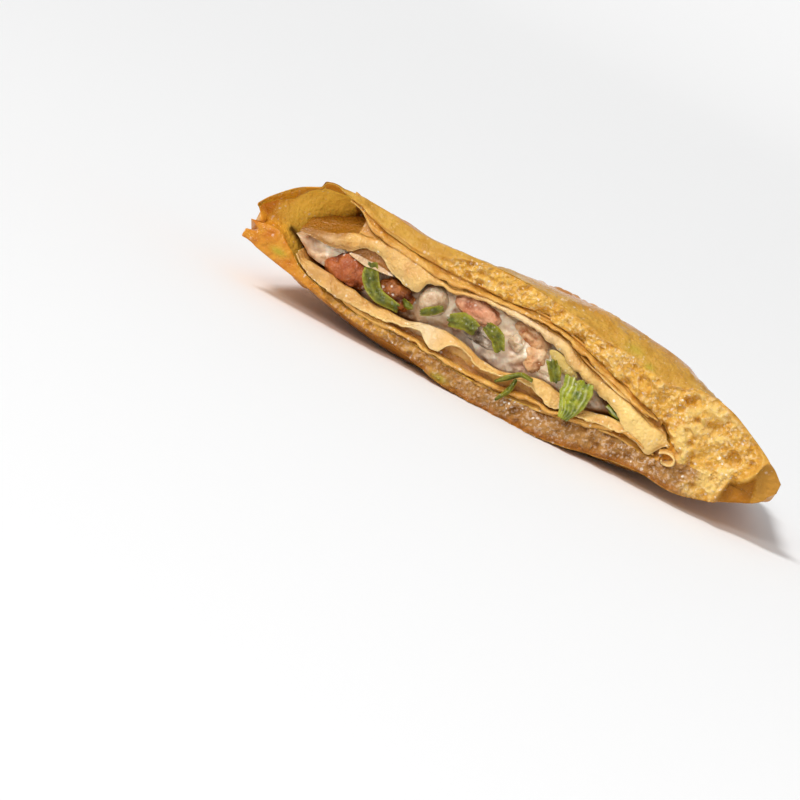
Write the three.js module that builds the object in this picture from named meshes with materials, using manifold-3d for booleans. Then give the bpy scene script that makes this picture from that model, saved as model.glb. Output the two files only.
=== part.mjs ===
// Half of a fried bean curd roll, cut lengthwise. Bean curd skin is wrapped round a filling of pork,
// shrimp paste and garlic chives, fried as a flat parcel and cut open along its middle.
// Millimetres, +Z up. The roll lies along X on the table at Z = 0, and its cut face looks along -Y.
import * as THREE from "three";
import Module from "manifold-3d";
import { mergeVertices } from "three/addons/utils/BufferGeometryUtils.js";

const wasm = await Module();
wasm.setup();

// ---- Driving dimensions ----------------------------------------------------------------------
const LENGTH = 106.4; // tip to tip
const DEPTH = 48; // cut face to the closed back fold
const CUT_PLANE = -23.3; // where the cut face lies in Y, so that the leaves that stand off it are counted
const MIDDLE = 0.1; // where the roll's middle falls on the ruler that measures the cut face
const END_LIFT = 6; // the ends curl up off the table by this much at the cut, and by less at the back
const BACK_LIFT = 2;
const FLAT_SHARE = 0.32; // share of the half length that lies flat on the table
const BACK_FOLD = 0.26; // share of the depth over which the back fold is rounded
const CORNER_TAPER = 0.12; // the parcel is shorter at its folded back by this share
const SKIN = 2.2; // the wrapper's layers, fried together
const SHEET = 0.6; // one inner sheet of bean curd skin
const GAP = 0.5; // air between neighbouring pieces
const STACK = 6.5; // height that all inner layers need at their full thickness
const HANG_OUT = 0.9; // how far the sheets' hanging edges stand off the cut
const CAVITY_DEPTH = 43; // how far the inside reaches behind the cut face
const SHEET_REACH = 0.86; // shares of that depth that the inner sheets and the filling take
const FILLING_REACH = 0.7;
const PACKED_FROM = 13; // behind the cut face, where the loose layers at the cut have closed up
const SLIVER = 0.06; // edges shorter than this are merged where one solid was taken out of another

// ---- Lines on the cut face: [place on the ruler, height], joined by a smooth curve --------------
const FACE_TOP = smoothLine([[-53.1, 14.5], [-50.4, 17.5], [-47.1, 20.5], [-43.7, 22.3], [-40.2, 23.9], [-31, 23.8],
  [-21.6, 22.8], [-8.7, 23.8], [0.8, 23.5], [10.4, 22.2], [20.2, 20.9], [28, 19.6], [33.8, 20.8], [39.7, 20.1],
  [45.9, 17.3], [50.5, 14.7], [53.3, 12.3]]);
const FACE_BOTTOM = smoothLine([[-52.3, 8], [-45.4, 6.5], [-36.1, 4.8], [-26.8, 3.1], [-17.5, 2.5], [-7.1, 0.4],
  [11.8, 0.2], [21.1, 1.6], [29.7, 2.9], [36.4, 2.4], [42.2, 3.5], [47.9, 5.8], [51.6, 8.1], [53.4, 11.8]]);
const OPENING_TOP = smoothLine([[-53.5, 14.3], [-46.9, 19.2], [-36.4, 22.4], [-28.8, 20.5], [-21.2, 19.5],
  [-4.5, 19.4], [3, 19.9], [10.9, 18.5], [18.9, 16.2], [28.7, 13], [34.9, 9], [38.9, 8.4], [54.5, 8.5]]);
const OPENING_BOTTOM = smoothLine([[-52.7, 11.6], [-46.9, 12], [-43.5, 10], [-40, 7.4], [-33.6, 5.9],
  [-27, 4.8], [-17.9, 5], [-2.8, 3.8], [8.5, 4.5], [23.5, 6.9], [30.3, 6.1], [35, 7.6], [38.9, 8.1], [54.5, 8.2]]);
// Behind the cut: the crest, where the top is highest, and the top of the back fold before it is rounded.
const CREST = smoothLine([[-53.1, 13.8], [-43.3, 20.6], [-36.3, 22.3], [-28.9, 22.4], [-20.2, 22], [-12.2, 22.5],
  [-1.2, 24.6], [8.4, 25.1], [18, 24.8], [27.8, 23.6], [35.9, 20.2], [44, 16.4], [53.3, 11.5]]);
const BACK = smoothLine([[-53, 12.5], [-36, 15.5], [-20, 16.2], [-5, 17.8], [8, 18.2], [20, 17], [33, 14.2], [44, 11],
  [53.3, 8.5]]);

// Inner sheets: the line where each turns over at the cut, and the line its cut edge hangs down to.
const FOLDS = {
  upperOuter: smoothLine([[-35.2, 20.8], [-27.8, 19.7], [-20.3, 19], [-15.6, 18.5], [-8.2, 18.7], [-0.6, 19.2],
    [5.1, 19.3], [10.9, 18.1], [16.9, 16.2], [22.8, 14.3], [28.7, 12.8]]),
  upperInner: smoothLine([[-43.2, 14.6], [-37.5, 16.2], [-34, 17.8], [-26.7, 18.6], [-21.1, 18.1], [-13.5, 17],
    [-8, 18], [-0.5, 18.4], [4.2, 18.1], [9, 17.4], [13.1, 15.4], [19, 13.9], [24.8, 12.6], [28.8, 11.1],
    [32.5, 9]]),
  lowerInner: smoothLine([[-42.1, 9.5], [-34.8, 9.1], [-27.4, 8.1], [-19.1, 8], [-13.6, 9.4], [-8, 8.9],
    [-2.3, 7.5], [4.2, 8.8], [8, 9.4], [15.7, 8.2], [23.3, 9.2], [26.2, 8.8]]),
  lowerOuter: smoothLine([[-33.6, 6.8], [-27.1, 6.1], [-16, 5.8], [-10.4, 4.9], [0.9, 5.1], [5.5, 5.9], [12.2, 5.7],
    [17.7, 6.6], [25.3, 8.5], [31.2, 6.8]]),
};
const LIPS = {
  upperOuter: smoothLine([[-35.2, 20.4], [-31.5, 19.2], [-23.9, 18.3], [-17.2, 17.6], [-8, 18.1], [5.1, 18.8],
    [10.9, 17.6], [16.9, 15.5], [22.8, 13.6], [28.7, 12.3]]),
  upperInner: smoothLine([[-43.1, 14], [-37.3, 15.3], [-31.7, 16.5], [-27.3, 16], [-23.5, 14.1], [-19.5, 13.2],
    [-18.3, 15.7], [-11.7, 17], [-7, 17.7], [2.4, 17.2], [9.3, 15.2], [16.2, 12.7], [22.2, 10.4], [27.3, 7.3],
    [32.6, 7.1]]),
  lowerInner: smoothLine([[-42, 8.1], [-34.5, 7.2], [-27.2, 6.7], [-18.9, 7.1], [-17.2, 7.7], [-11.8, 5.5],
    [-9.5, 7.9], [-4, 6.6], [5.2, 7.8], [10.3, 6.3], [15.8, 7], [23.4, 7.6], [26.3, 8]]),
  lowerOuter: smoothLine([[-33.6, 6.4], [-27, 5], [-19.7, 5.1], [-14.2, 5.5], [-1.9, 4.3], [10.3, 5.4], [19.7, 6.2],
    [25.3, 8], [31.2, 6.6]]),
};
const FILLING_TOP = smoothLine([[-43.3, 13.5], [-37.3, 14.7], [-30.8, 13.6], [-26.3, 14.4], [-20.5, 13.2],
  [-18.1, 15.5], [-13.4, 15.8], [-7.1, 17.3], [-1.3, 16.4], [6.6, 14.5], [15.2, 12.7], [21.1, 10.9], [22.8, 10.2]]);
const FILLING_BOTTOM = smoothLine([[-41.2, 9.8], [-34.7, 7.9], [-27.2, 6.7], [-19.8, 6.6], [-12.7, 9.5], [-8.1, 10.1],
  [-3.2, 7.2], [5.2, 8.8], [18.6, 7.6], [22.7, 9.4]]);

// ---- Bubbles burst open in the fried crust: [place, height], radius, depth --------------------------
const PORES = [
  { at: [21.2, 16.2], wide: 1.8, deep: 1.5 },
  { at: [33.5, 18.2], wide: 1.8, deep: 1.6 },
  { at: [38.2, 15.5], wide: 2.5, deep: 2.4 },
  { at: [43.7, 12.4], wide: 2.1, deep: 2.4 },
  { at: [32, 10.8], wide: 2.6, deep: 2.4 },
  { at: [9.9, 20.1], wide: 1.8, deep: 1.4 },
];

// ---- What the filling is made of: centre [ruler, behind the face, height], radii, tilt in degrees --
const CHUNKS = {
  pork_left: { centre: [-32.6, 4.1, 11.6], radii: [4.9, 3.8, 2.8], tilt: -4 },
  pork_brown: { centre: [-22.8, 3.6, 11.1], radii: [3.7, 3.2, 2.2], tilt: 8 },
  fat_pearl: { centre: [-16.3, 3.5, 13.3], radii: [2.8, 3.2, 2.8], tilt: 0 },
  pork_middle: { centre: [-8, 3.9, 15.3], radii: [5.1, 3.6, 1.8], tilt: 5 },
  mushroom: { centre: [-5.9, 3.3, 10.9], radii: [4.1, 3, 1.3], tilt: 6 },
  fat_white: { centre: [0.6, 2.5, 12.9], radii: [1.6, 2.2, 1.3], tilt: 0 },
  shrimp_top: { centre: [2.5, 3.3, 15.5], radii: [3.6, 3, 1.4], tilt: 12 },
  shrimp_side: { centre: [5, 3.3, 12.3], radii: [2.6, 3, 2.3], tilt: 30 },
};
// Greens lie on the cut face: the route on the face, width, and how far the strip stands off it.
const GREENS = {
  chive_hook: { route: [[-28.5, 13.4], [-27.6, 11.1], [-25.3, 9.7], [-21.4, 9.5]], wide: 1.9, off: -0.5 },
  chive_dark: { route: [[-11.4, 12], [-9.4, 12.8], [-6.9, 12.3]], wide: 1.9, off: -0.4 },
  chive_folded: { route: [[-4.9, 13.6], [-3, 12.8], [-1.7, 11.4]], wide: 2, off: -0.5 },
  chive_upright: { route: [[8.1, 13.4], [9, 12.2], [9.7, 10.9]], wide: 1.9, off: -0.6 },
  chive_tip: { route: [[-16.6, 10.9], [-15.4, 11.7], [-14, 13]], wide: 1.2, off: -1 },
  chive_strand: { route: [[0.8, 6.2], [2.4, 7.6], [4.2, 8.9], [6.3, 8.9]], wide: 0.9, off: -1.9 },
  chive_thread: { route: [[3.6, 7.5], [3.2, 5.3], [2.1, 3.2]], wide: 0.9, off: -1.5 },
  leaf_large: { route: [[12.8, 12.3], [14.2, 9.4], [14.5, 6]], wide: 5.2, off: -1.9 },
};

// ---- Small helpers -------------------------------------------------------------------------------
// A smooth line through points: a cubic Hermite curve, its slopes taken from the neighbours.
function smoothLine(points) {
  const slope = (i) => {
    const a = points[Math.max(i - 1, 0)];
    const b = points[Math.min(i + 1, points.length - 1)];
    return (b[1] - a[1]) / (b[0] - a[0]);
  };
  return (x) => {
    const last = points.length - 1;
    if (x <= points[0][0]) return points[0][1];
    if (x >= points[last][0]) return points[last][1];
    const i = points.findIndex((p) => p[0] > x) - 1;
    const step = points[i + 1][0] - points[i][0];
    const u = (x - points[i][0]) / step;
    const rise = points[i + 1][1] - points[i][1];
    const ease = u * u * (3 - 2 * u);
    return points[i][1] + rise * ease + step * (slope(i) * u * (1 - u) ** 2 - slope(i + 1) * u * u * (1 - u));
  };
}

const mix = (a, b, share) => a + (b - a) * share;
const smooth = (from, to, x) => { // 0 before from, 1 after to
  const u = Math.min(Math.max((x - from) / (to - from), 0), 1);
  return u * u * (3 - 2 * u);
};
// Irregular but repeatable relief between -1 and 1, as sines whose directions don't line up.
const crag = (x, y, z) =>
  (Math.sin(1.9 * x + 2.3 * z + 1.1) * Math.sin(1.3 * y - 0.9 * x + 0.4) +
    Math.sin(3.1 * z - 0.7 * x + 2.2) * Math.sin(2.7 * y + 1.2 * x)) / 2;

// The cut through the crust: uneven, pitted where it cut through bubbles, its tip drawn back.
const cutRelief = (x, z) => {
  const pit = ({ at, wide, deep }) => deep * (1 - smooth(0, wide, Math.hypot(x - at[0], z - at[1])));
  return 0.6 * crag(x, 0, z) + PORES.reduce((sum, pore) => sum + pit(pore), 0) + 1.6 * smooth(42, 52, x) * (z < 11);
};

// Places from tip to tip, closer together near the ends.
const STATIONS = 54;
const station = (i) => {
  const even = (2 * i) / STATIONS - 1;
  return mix(even, Math.sin((even * Math.PI) / 2), 0.35);
};
const ruler = (s) => MIDDLE + (s * LENGTH) / 2;

// ---- The parcel's own form -------------------------------------------------------------------------
// s runs from tip to tip (-1 to 1) and y from the cut face to the back. The ends and the back are rounded.
const roundEnd = (s) => Math.sqrt(1.03 - Math.abs(s) ** 9);
const roundBack = (y) => Math.sqrt(Math.max(1 - Math.max(1 + (y / DEPTH - 1) / BACK_FOLD, 0) ** 2.4, 0));
const along = (s, y) => (s * LENGTH * (1 - CORNER_TAPER * (y / DEPTH) ** 1.4)) / 2;

function outerHeights(s, y) {
  const x = ruler(s);
  const behind = 1 - Math.exp(-y / 3.5);
  const fall = Math.max(y / DEPTH - 0.1, 0) / 0.9;
  const top = mix(mix(FACE_TOP(x), CREST(x), behind), BACK(x), fall);
  const restBottom = mix(END_LIFT, BACK_LIFT, y / DEPTH) * smooth(FLAT_SHARE, 1.05, Math.abs(s));
  const bottom = mix(FACE_BOTTOM(x), restBottom, smooth(0, 9.5, y));
  const middle = (top + bottom) / 2;
  const half = ((top - bottom) / 2) * mix(1, roundEnd(s), behind) * roundBack(y);
  return { top: middle + half, bottom: Math.max(middle - half, 0) };
}

// The inside reaches back everywhere but near the tips, where the layers are fried into one crust.
// Whatever lies inside has its points in the same rows, so neighbours stay a gap apart.
const INSIDE_ROWS = [0, 0.05, 0.14, 0.28, 0.48, 0.7, 0.86, 0.96];
const insideDepth = (s) => Math.max(CAVITY_DEPTH * smooth(-0.98, -0.6, s) * (1 - smooth(0.5, 0.68, s)), 0.2);

function insideHeights(s, y) {
  const x = ruler(s);
  const face = outerHeights(s, 0);
  const here = outerHeights(s, y);
  const packed = smooth(0, PACKED_FROM, y);
  const top = mix(Math.min(OPENING_TOP(x), face.top - 0.9), here.top - SKIN, packed);
  const bottom = mix(Math.max(OPENING_BOTTOM(x), face.bottom + 0.9), here.bottom + SKIN, packed);
  const middle = (top + bottom) / 2;
  const closing = Math.sqrt(Math.max(1 - (y / insideDepth(s)) ** 8, 0));
  const half = Math.max((top - bottom) / 2, 0.12) * closing;
  return { top: middle + half, bottom: middle - half };
}

// Heights of every layer inside, each at its underside. At the cut they follow their own lines, farther
// in they are packed together, and none comes nearer to the next than a gap.
function layerHeights(s, y) {
  const x = ruler(s);
  const { top, bottom } = insideHeights(s, y);
  const squeeze = Math.min((top - bottom) / STACK, 1); // the layers thin out at the back fold
  const [thick, gap] = [SHEET * squeeze, GAP * squeeze];
  const step = thick + gap;
  const packed = smooth(0, PACKED_FROM, y);
  const layers = [
    { name: "lowerOuter", need: gap, cut: FOLDS.lowerOuter(x) - thick, inside: bottom + gap },
    { name: "lowerInner", need: step, cut: FOLDS.lowerInner(x) - thick, inside: bottom + gap + step },
    { name: "fillingBottom", need: step, cut: FILLING_BOTTOM(x), inside: bottom + gap + 2 * step },
    { name: "fillingTop", need: squeeze, cut: FILLING_TOP(x), inside: top - gap - 2 * step },
    { name: "upperInner", need: gap, cut: FOLDS.upperInner(x) - thick, inside: top - 2 * step },
    { name: "upperOuter", need: step, cut: FOLDS.upperOuter(x) - thick, inside: top - step },
  ];
  const heights = { thick, floor: bottom };
  let reached = bottom;
  let room = layers.reduce((sum, layer) => sum + layer.need, step);
  for (const { name, need, cut, inside } of layers) {
    room -= need;
    reached = Math.min(Math.max(mix(cut, inside, packed), reached + need), top - room);
    heights[name] = reached;
  }
  return heights;
}

// ---- Closed surfaces from rings of points ------------------------------------------------------------
// Rings run one after another along X; each has the same number of points. A pole closes each end.
function ringSurface(rings) {
  const count = rings[0].length;
  const positions = rings.flat();
  const index = [];
  for (let i = 0; i < rings.length - 1; i++) {
    for (let j = 0; j < count; j++) {
      const k = (j + 1) % count;
      const [a, b, c, d] = [i * count + j, i * count + k, (i + 1) * count + k, (i + 1) * count + j];
      index.push(a, b, c, a, c, d);
    }
  }
  const centre = (ring) => [0, 1, 2].map((axis) => ring.reduce((sum, p) => sum + p[axis], 0) / count);
  const first = positions.push(centre(rings[0])) - 1;
  const last = positions.push(centre(rings[rings.length - 1])) - 1;
  const tail = (rings.length - 1) * count;
  for (let j = 0; j < count; j++) {
    const k = (j + 1) % count;
    index.push(first, k, j, last, tail + j, tail + k);
  }
  return solidFrom(positions, index);
}

// A plate between two grids of points, with walls all round; both faces are split alike.
function slab(upper, lower) {
  const rows = upper.length;
  const columns = upper[0].length;
  const positions = [...upper.flat(), ...lower.flat()];
  const under = rows * columns;
  const index = [];
  const quad = (a, b, c, d) => index.push(a, b, c, a, c, d);
  for (let i = 0; i < rows - 1; i++) {
    for (let j = 0; j < columns - 1; j++) {
      const [a, b, c, d] = [i * columns + j, (i + 1) * columns + j, (i + 1) * columns + j + 1, i * columns + j + 1];
      index.push(a, b, c, a, c, d, under + a, under + c, under + b, under + a, under + d, under + c);
    }
  }
  for (let i = 0; i < rows - 1; i++) {
    const [near, far] = [i * columns, (i + 1) * columns];
    quad(near, under + near, under + far, far);
    quad(far + columns - 1, under + far + columns - 1, under + near + columns - 1, near + columns - 1);
  }
  for (let j = 0; j < columns - 1; j++) {
    const end = (rows - 1) * columns;
    quad(j + 1, under + j + 1, under + j, j);
    quad(end + j, under + end + j, under + end + j + 1, end + j + 1);
  }
  return solidFrom(positions, index);
}

function solidFrom(positions, index) {
  const geometry = new THREE.BufferGeometry();
  geometry.setAttribute("position", new THREE.Float32BufferAttribute(positions.flat(), 3));
  geometry.setIndex(index);
  return manifoldOf(geometry);
}

function manifoldOf(geometry) {
  for (const name of ["normal", "uv"]) geometry.deleteAttribute(name);
  const merged = mergeVertices(geometry, 1e-4);
  const solid = new wasm.Manifold(new wasm.Mesh({
    numProp: 3,
    vertProperties: merged.attributes.position.array,
    triVerts: new Uint32Array(merged.index.array),
  }));
  if (solid.volume() > 0) return solid;
  const turned = new Uint32Array(merged.index.array);
  for (let i = 0; i < turned.length; i += 3) [turned[i + 1], turned[i + 2]] = [turned[i + 2], turned[i + 1]];
  return new wasm.Manifold(new wasm.Mesh({
    numProp: 3,
    vertProperties: merged.attributes.position.array,
    triVerts: turned,
  }));
}

// The left end is torn, so its edge comes and goes with the height.
const tear = (s, y, z) =>
  1.2 * (Math.sin(2.2 * z + 1.5) - 1) * smooth(-0.93, -1, s) * (1 - smooth(0, 14, y)) * (1 - smooth(14.7, 16.8, z));
const point = (s, y, z) => [along(s, Math.max(y, 0)) - tear(s, y, z), y + CUT_PLANE, z];

// ---- Wrapper: bean curd skin, folded shut at the back and the tips, cut open at the front ------------
function makeWrapper() {
  const topRows = [0, 0.03, 0.1, 0.22, 0.4, 0.6, 0.76, 0.86, 0.93, 0.98, 1].map((t) => t * DEPTH);
  const bottomRows = [0.98, 0.93, 0.84, 0.66, 0.4, 0.2, 0.08, 0].map((t) => t * DEPTH);
  const topBand = [0.15, 0.32, 0.5, 0.68, 0.85];
  const bottomBand = [0.33, 0.67];
  const rings = [];
  for (let i = 0; i <= STATIONS; i++) {
    const s = station(i);
    const reach = insideDepth(s);
    const face = outerHeights(s, 0);
    const edge = insideHeights(s, 0);
    const ring = [];
    const onFace = (z) => ring.push(point(s, cutRelief(ruler(s), z), z));
    const inside = (q, side) => {
      const { top, bottom } = insideHeights(s, reach * q);
      ring.push(point(s, reach * q, side > 0 ? top : bottom));
    };
    for (const y of topRows) {
      const rough = 0.35 * crag(ruler(s), y, 3) * Math.min(1, y / 4) * roundBack(y);
      ring.push(point(s, y, outerHeights(s, y).top + rough));
    }
    for (const y of bottomRows) ring.push(point(s, y, outerHeights(s, y).bottom));
    for (const share of bottomBand) onFace(mix(face.bottom, edge.bottom, share));
    for (const q of INSIDE_ROWS) inside(q, -1);
    for (const q of [...INSIDE_ROWS].reverse()) inside(q, 1);
    for (const share of topBand) onFace(mix(edge.top, face.top, share));
    rings.push(ring);
  }
  return ringSurface(rings);
}

// ---- Inner sheets: single layers of soft skin that run in from the cut and hang over its edge -----------
// Each edge hangs no lower than what lies under it.
function makeSheet(layer, from, to, under) {
  const [upper, lower] = [[], []];
  for (let i = 0; i <= STATIONS; i++) {
    const s = station(i);
    if (s < from || s > to) continue;
    const x = ruler(s);
    const front = -HANG_OUT - 0.2 * Math.sin(0.55 * x) - 0.1 * Math.sin(1.3 * x + 1);
    const edge = layerHeights(s, 0);
    const lip = Math.max(Math.min(LIPS[layer](x), edge[layer]), under(edge) + GAP);
    const above = [point(s, front, lip), point(s, front + 0.1, edge[layer] + edge.thick)];
    const below = [point(s, front + SHEET, lip), point(s, front + SHEET + 0.4, edge[layer])];
    for (const q of INSIDE_ROWS.filter((row) => row > 0 && row <= SHEET_REACH)) {
      const y = insideDepth(s) * q;
      const heights = layerHeights(s, y);
      above.push(point(s, y, heights[layer] + heights.thick));
      below.push(point(s, y, heights[layer]));
    }
    upper.push(above);
    lower.push(below);
  }
  return slab(upper, lower);
}

// ---- Filling: one mass of minced shrimp and pork that runs through the roll, lumpy where it is cut ------
function makeFilling() {
  const faceRows = [0.2, 0.4, 0.6, 0.8];
  const rows = INSIDE_ROWS.filter((q) => q <= FILLING_REACH);
  const [from, to] = [-0.83, 0.43];
  const rings = [];
  for (let i = 0; i <= STATIONS; i++) {
    const s = station(i);
    if (s < from || s > to) continue;
    const narrow = Math.sqrt(1 - Math.abs(mix(-1, 1, (s - from) / (to - from))) ** 8);
    const start = 2 + 0.5 * crag(ruler(s), 1, 2);
    const ring = [];
    const at = (y, share) => {
      const { fillingBottom, fillingTop } = layerHeights(s, y);
      const middle = (fillingBottom + fillingTop) / 2;
      const half = (Math.max(fillingTop - fillingBottom, 0.2) / 2) * Math.max(narrow, 0.15);
      return middle + half * share;
    };
    const deep = (q) => (q < 0.05 ? start + q * 30 : insideDepth(s) * q);
    for (const q of rows) ring.push(point(s, deep(q), at(deep(q), 1)));
    for (const q of [...rows].reverse()) ring.push(point(s, deep(q), at(deep(q), -1)));
    for (const share of faceRows) {
      const level = 2 * share - 1;
      const bulge = 0.8 * (1 - level * level) + 0.7 * crag(ruler(s) * 0.8, 5, share * 7);
      ring.push(point(s, start - bulge, at(start, level)));
    }
    rings.push(ring);
  }
  return ringSurface(rings);
}

// ---- Chunks: rounded, uneven lumps of pork, fat, mushroom and shrimp ------------------------------------
function makeChunk({ centre, radii, tilt }, grow = 0) {
  const ball = new THREE.SphereGeometry(1, 12, 8);
  const place = ball.attributes.position;
  const vertex = new THREE.Vector3();
  for (let i = 0; i < place.count; i++) {
    vertex.fromBufferAttribute(place, i);
    const lump = 1 + 0.09 * crag(vertex.x * 2 + centre[0], vertex.y * 2, vertex.z * 2);
    place.setXYZ(i, ...vertex.toArray().map((v, axis) => v * (radii[axis] * lump + grow)));
  }
  ball.rotateY(THREE.MathUtils.degToRad(tilt));
  ball.translate(centre[0] - MIDDLE, centre[1] + CUT_PLANE, centre[2]);
  return manifoldOf(ball);
}

// ---- Greens: thin, cupped strips of chive leaf ------------------------------------------------------------
function makeGreen({ route, wide, off }, grow = 0) {
  const path = new THREE.CatmullRomCurve3(route.map(([x, z]) => new THREE.Vector3(x - MIDDLE, 0, z)));
  const [steps, across, thick] = [6, 4, 0.7];
  const [upper, lower] = [[], []];
  for (let i = 0; i <= steps; i++) {
    const on = path.getPoint(i / steps);
    const way = path.getTangent(i / steps);
    on.addScaledVector(way, i === 0 ? -grow : i === steps ? grow : 0);
    const width = (wide / 2) * (0.75 + 0.25 * Math.sin((i / steps) * Math.PI)) + grow;
    const [front, back] = [[], []];
    for (let j = 0; j <= across; j++) {
      const side = (2 * j) / across - 1;
      const y = off + CUT_PLANE + 0.5 * side * side + 0.25 * Math.sin(i * 1.3);
      const [x, z] = [on.x - way.z * side * width, on.z + way.x * side * width];
      front.push([x, y - grow, z]);
      back.push([x, y + thick + grow, z]);
    }
    upper.push(front);
    lower.push(back);
  }
  return slab(upper, lower);
}

// ---- Put together -------------------------------------------------------------------------------------------
// Where two pieces press together, the softer one gives way by a gap; loose scraps are dropped.
const largest = (solid) => solid.decompose().sort((a, b) => b.volume() - a.volume())[0];
const giveWay = (solid, pressing) =>
  largest(pressing.reduce((left, other) => left.subtract(other), solid)).asOriginal().simplify(SLIVER);

const greens = Object.entries(GREENS).map(([name, green]) => [name, makeGreen(green)]);
const grownGreens = Object.values(GREENS).map((green) => makeGreen(green, 0.35));
const grownChunks = Object.values(CHUNKS).map((chunk) => makeChunk(chunk, 0.3));
const chunks = Object.entries(CHUNKS).map(([name, chunk], i) =>
  [name, giveWay(makeChunk(chunk), [...grownGreens, ...grownChunks.slice(i + 1)])]);
const pressing = [...grownGreens, ...grownChunks];

const colours = {
  wrapper: 0xcf9338,
  sheet: 0xe9c078,
  filling: 0xc9aa8a,
  pork: 0xb9683f,
  shrimp: 0xd39a78,
  fat: 0xdccbb4,
  mushroom: 0x8d7f72,
  green: 0x5f7a1e,
};
const sheets = [
  ["sheet_upper_outer", makeSheet("upperOuter", -0.67, 0.55, (layers) => layers.upperInner + layers.thick)],
  ["sheet_upper_inner", makeSheet("upperInner", -0.82, 0.62, (layers) => layers.lowerInner + layers.thick)],
  ["sheet_lower_inner", makeSheet("lowerInner", -0.8, 0.5, (layers) => layers.lowerOuter + layers.thick)],
  ["sheet_lower_outer", makeSheet("lowerOuter", -0.64, 0.6, (layers) => layers.floor)],
];
const pieces = [
  ["wrapper", giveWay(makeWrapper(), pressing), colours.wrapper],
  ...sheets.map(([name, solid]) => [name, giveWay(solid, pressing), colours.sheet]),
  ["filling", giveWay(makeFilling(), pressing), colours.filling],
  ...chunks.map(([name, solid]) => [name, solid, colours[name.split("_")[0]]]),
  ...greens.map(([name, solid]) => [name, solid, colours.green]),
];

const roll = new THREE.Group();
for (const [name, solid, color] of pieces) {
  const { vertProperties, triVerts } = solid.getMesh();
  const geometry = new THREE.BufferGeometry();
  geometry.setAttribute("position", new THREE.BufferAttribute(new Float32Array(vertProperties), 3));
  geometry.setIndex(new THREE.BufferAttribute(new Uint32Array(triVerts), 1));
  geometry.computeVertexNormals();
  const mesh = new THREE.Mesh(geometry, new THREE.MeshStandardMaterial({ color, roughness: 0.45, metalness: 0 }));
  mesh.name = name;
  roll.add(mesh);
}
export default roll;
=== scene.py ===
"""Half of a fried bean curd roll, cut lengthwise, lying on a pale floor.

Bean curd skin is wrapped round a filling of pork, shrimp paste and garlic chives, fried as a flat
parcel and cut open along its middle. +X runs along the roll, the cut face looks along -Y.
Shapes are worked out in millimetres and written into the meshes in metres.
"""

import bpy
import numpy as np
from mathutils import Matrix, Vector


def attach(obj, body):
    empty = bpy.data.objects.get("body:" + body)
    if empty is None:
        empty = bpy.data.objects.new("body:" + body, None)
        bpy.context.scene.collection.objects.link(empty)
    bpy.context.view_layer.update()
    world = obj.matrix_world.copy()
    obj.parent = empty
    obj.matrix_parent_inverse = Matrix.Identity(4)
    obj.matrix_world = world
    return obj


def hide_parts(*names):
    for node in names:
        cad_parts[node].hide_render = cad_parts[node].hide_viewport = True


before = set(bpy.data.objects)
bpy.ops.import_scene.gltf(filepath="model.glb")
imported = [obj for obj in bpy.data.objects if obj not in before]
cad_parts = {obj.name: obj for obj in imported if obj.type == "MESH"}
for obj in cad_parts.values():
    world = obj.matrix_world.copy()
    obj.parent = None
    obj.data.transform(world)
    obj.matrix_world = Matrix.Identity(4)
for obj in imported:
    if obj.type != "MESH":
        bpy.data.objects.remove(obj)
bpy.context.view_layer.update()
scene = bpy.context.scene


# ---- Fried skin ------------------------------------------------------------------------------------
# The wrapper: sheets of bean curd skin rolled into a flat parcel and fried until they fused. Its top
# and back are amber and glossy, its tips are folded shut, and the cut shows a thick blistered crust.
MM = 0.001
LENGTH = 106.4
DEPTH = 48.0
CUT_PLANE = -23.3
# Places along the roll are read off a ruler laid along the cut face; this is its reading at x = 0.
MIDDLE = 0.1
# How far the underside rises at the tips, at the cut and at the back, beyond the share that lies flat.
END_LIFT = 6.0
BACK_LIFT = 2.0
FLAT_SHARE = 0.32
# Shares: of the depth that rounds down to the back fold, and by which the back is shorter than the cut.
BACK_FOLD = 0.26
CORNER_TAPER = 0.12
# How thick the fused skin is, how deep the inside goes, and from how far in its layers are packed.
SKIN = 2.2
CAVITY_DEPTH = 43.0
PACKED_FROM = 13.0
# Rings of points from tip to tip, and points of a ring: over the top, back along the underside, up the
# lower cut band, round each half of the inside, and up the upper cut band.
SKIN_RINGS = 440
TOP_POINTS, UNDER_POINTS, LOW_BAND_POINTS, INSIDE_POINTS, TOP_BAND_POINTS = 64, 34, 28, 22, 60


def smooth_line(*points):
    """A smooth line through points (place, value). Between two points it is the cubic whose slope at
    each of them is the slope from the point before it to the point after it."""
    place, value = np.array(points, float).T
    slope = np.empty_like(value)
    slope[1:-1] = (value[2:] - value[:-2]) / (place[2:] - place[:-2])
    slope[[0, -1]] = (value[[1, -1]] - value[[0, -2]]) / (place[[1, -1]] - place[[0, -2]])

    def line(x):
        i = np.clip(np.searchsorted(place, x) - 1, 0, len(place) - 2)
        step = place[i + 1] - place[i]
        u = np.clip((x - place[i]) / step, 0, 1)
        ease = u * u * (3 - 2 * u)
        bend = slope[i] * u * (1 - u) ** 2 - slope[i + 1] * u * u * (1 - u)
        return value[i] + (value[i + 1] - value[i]) * ease + step * bend

    return line


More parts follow.
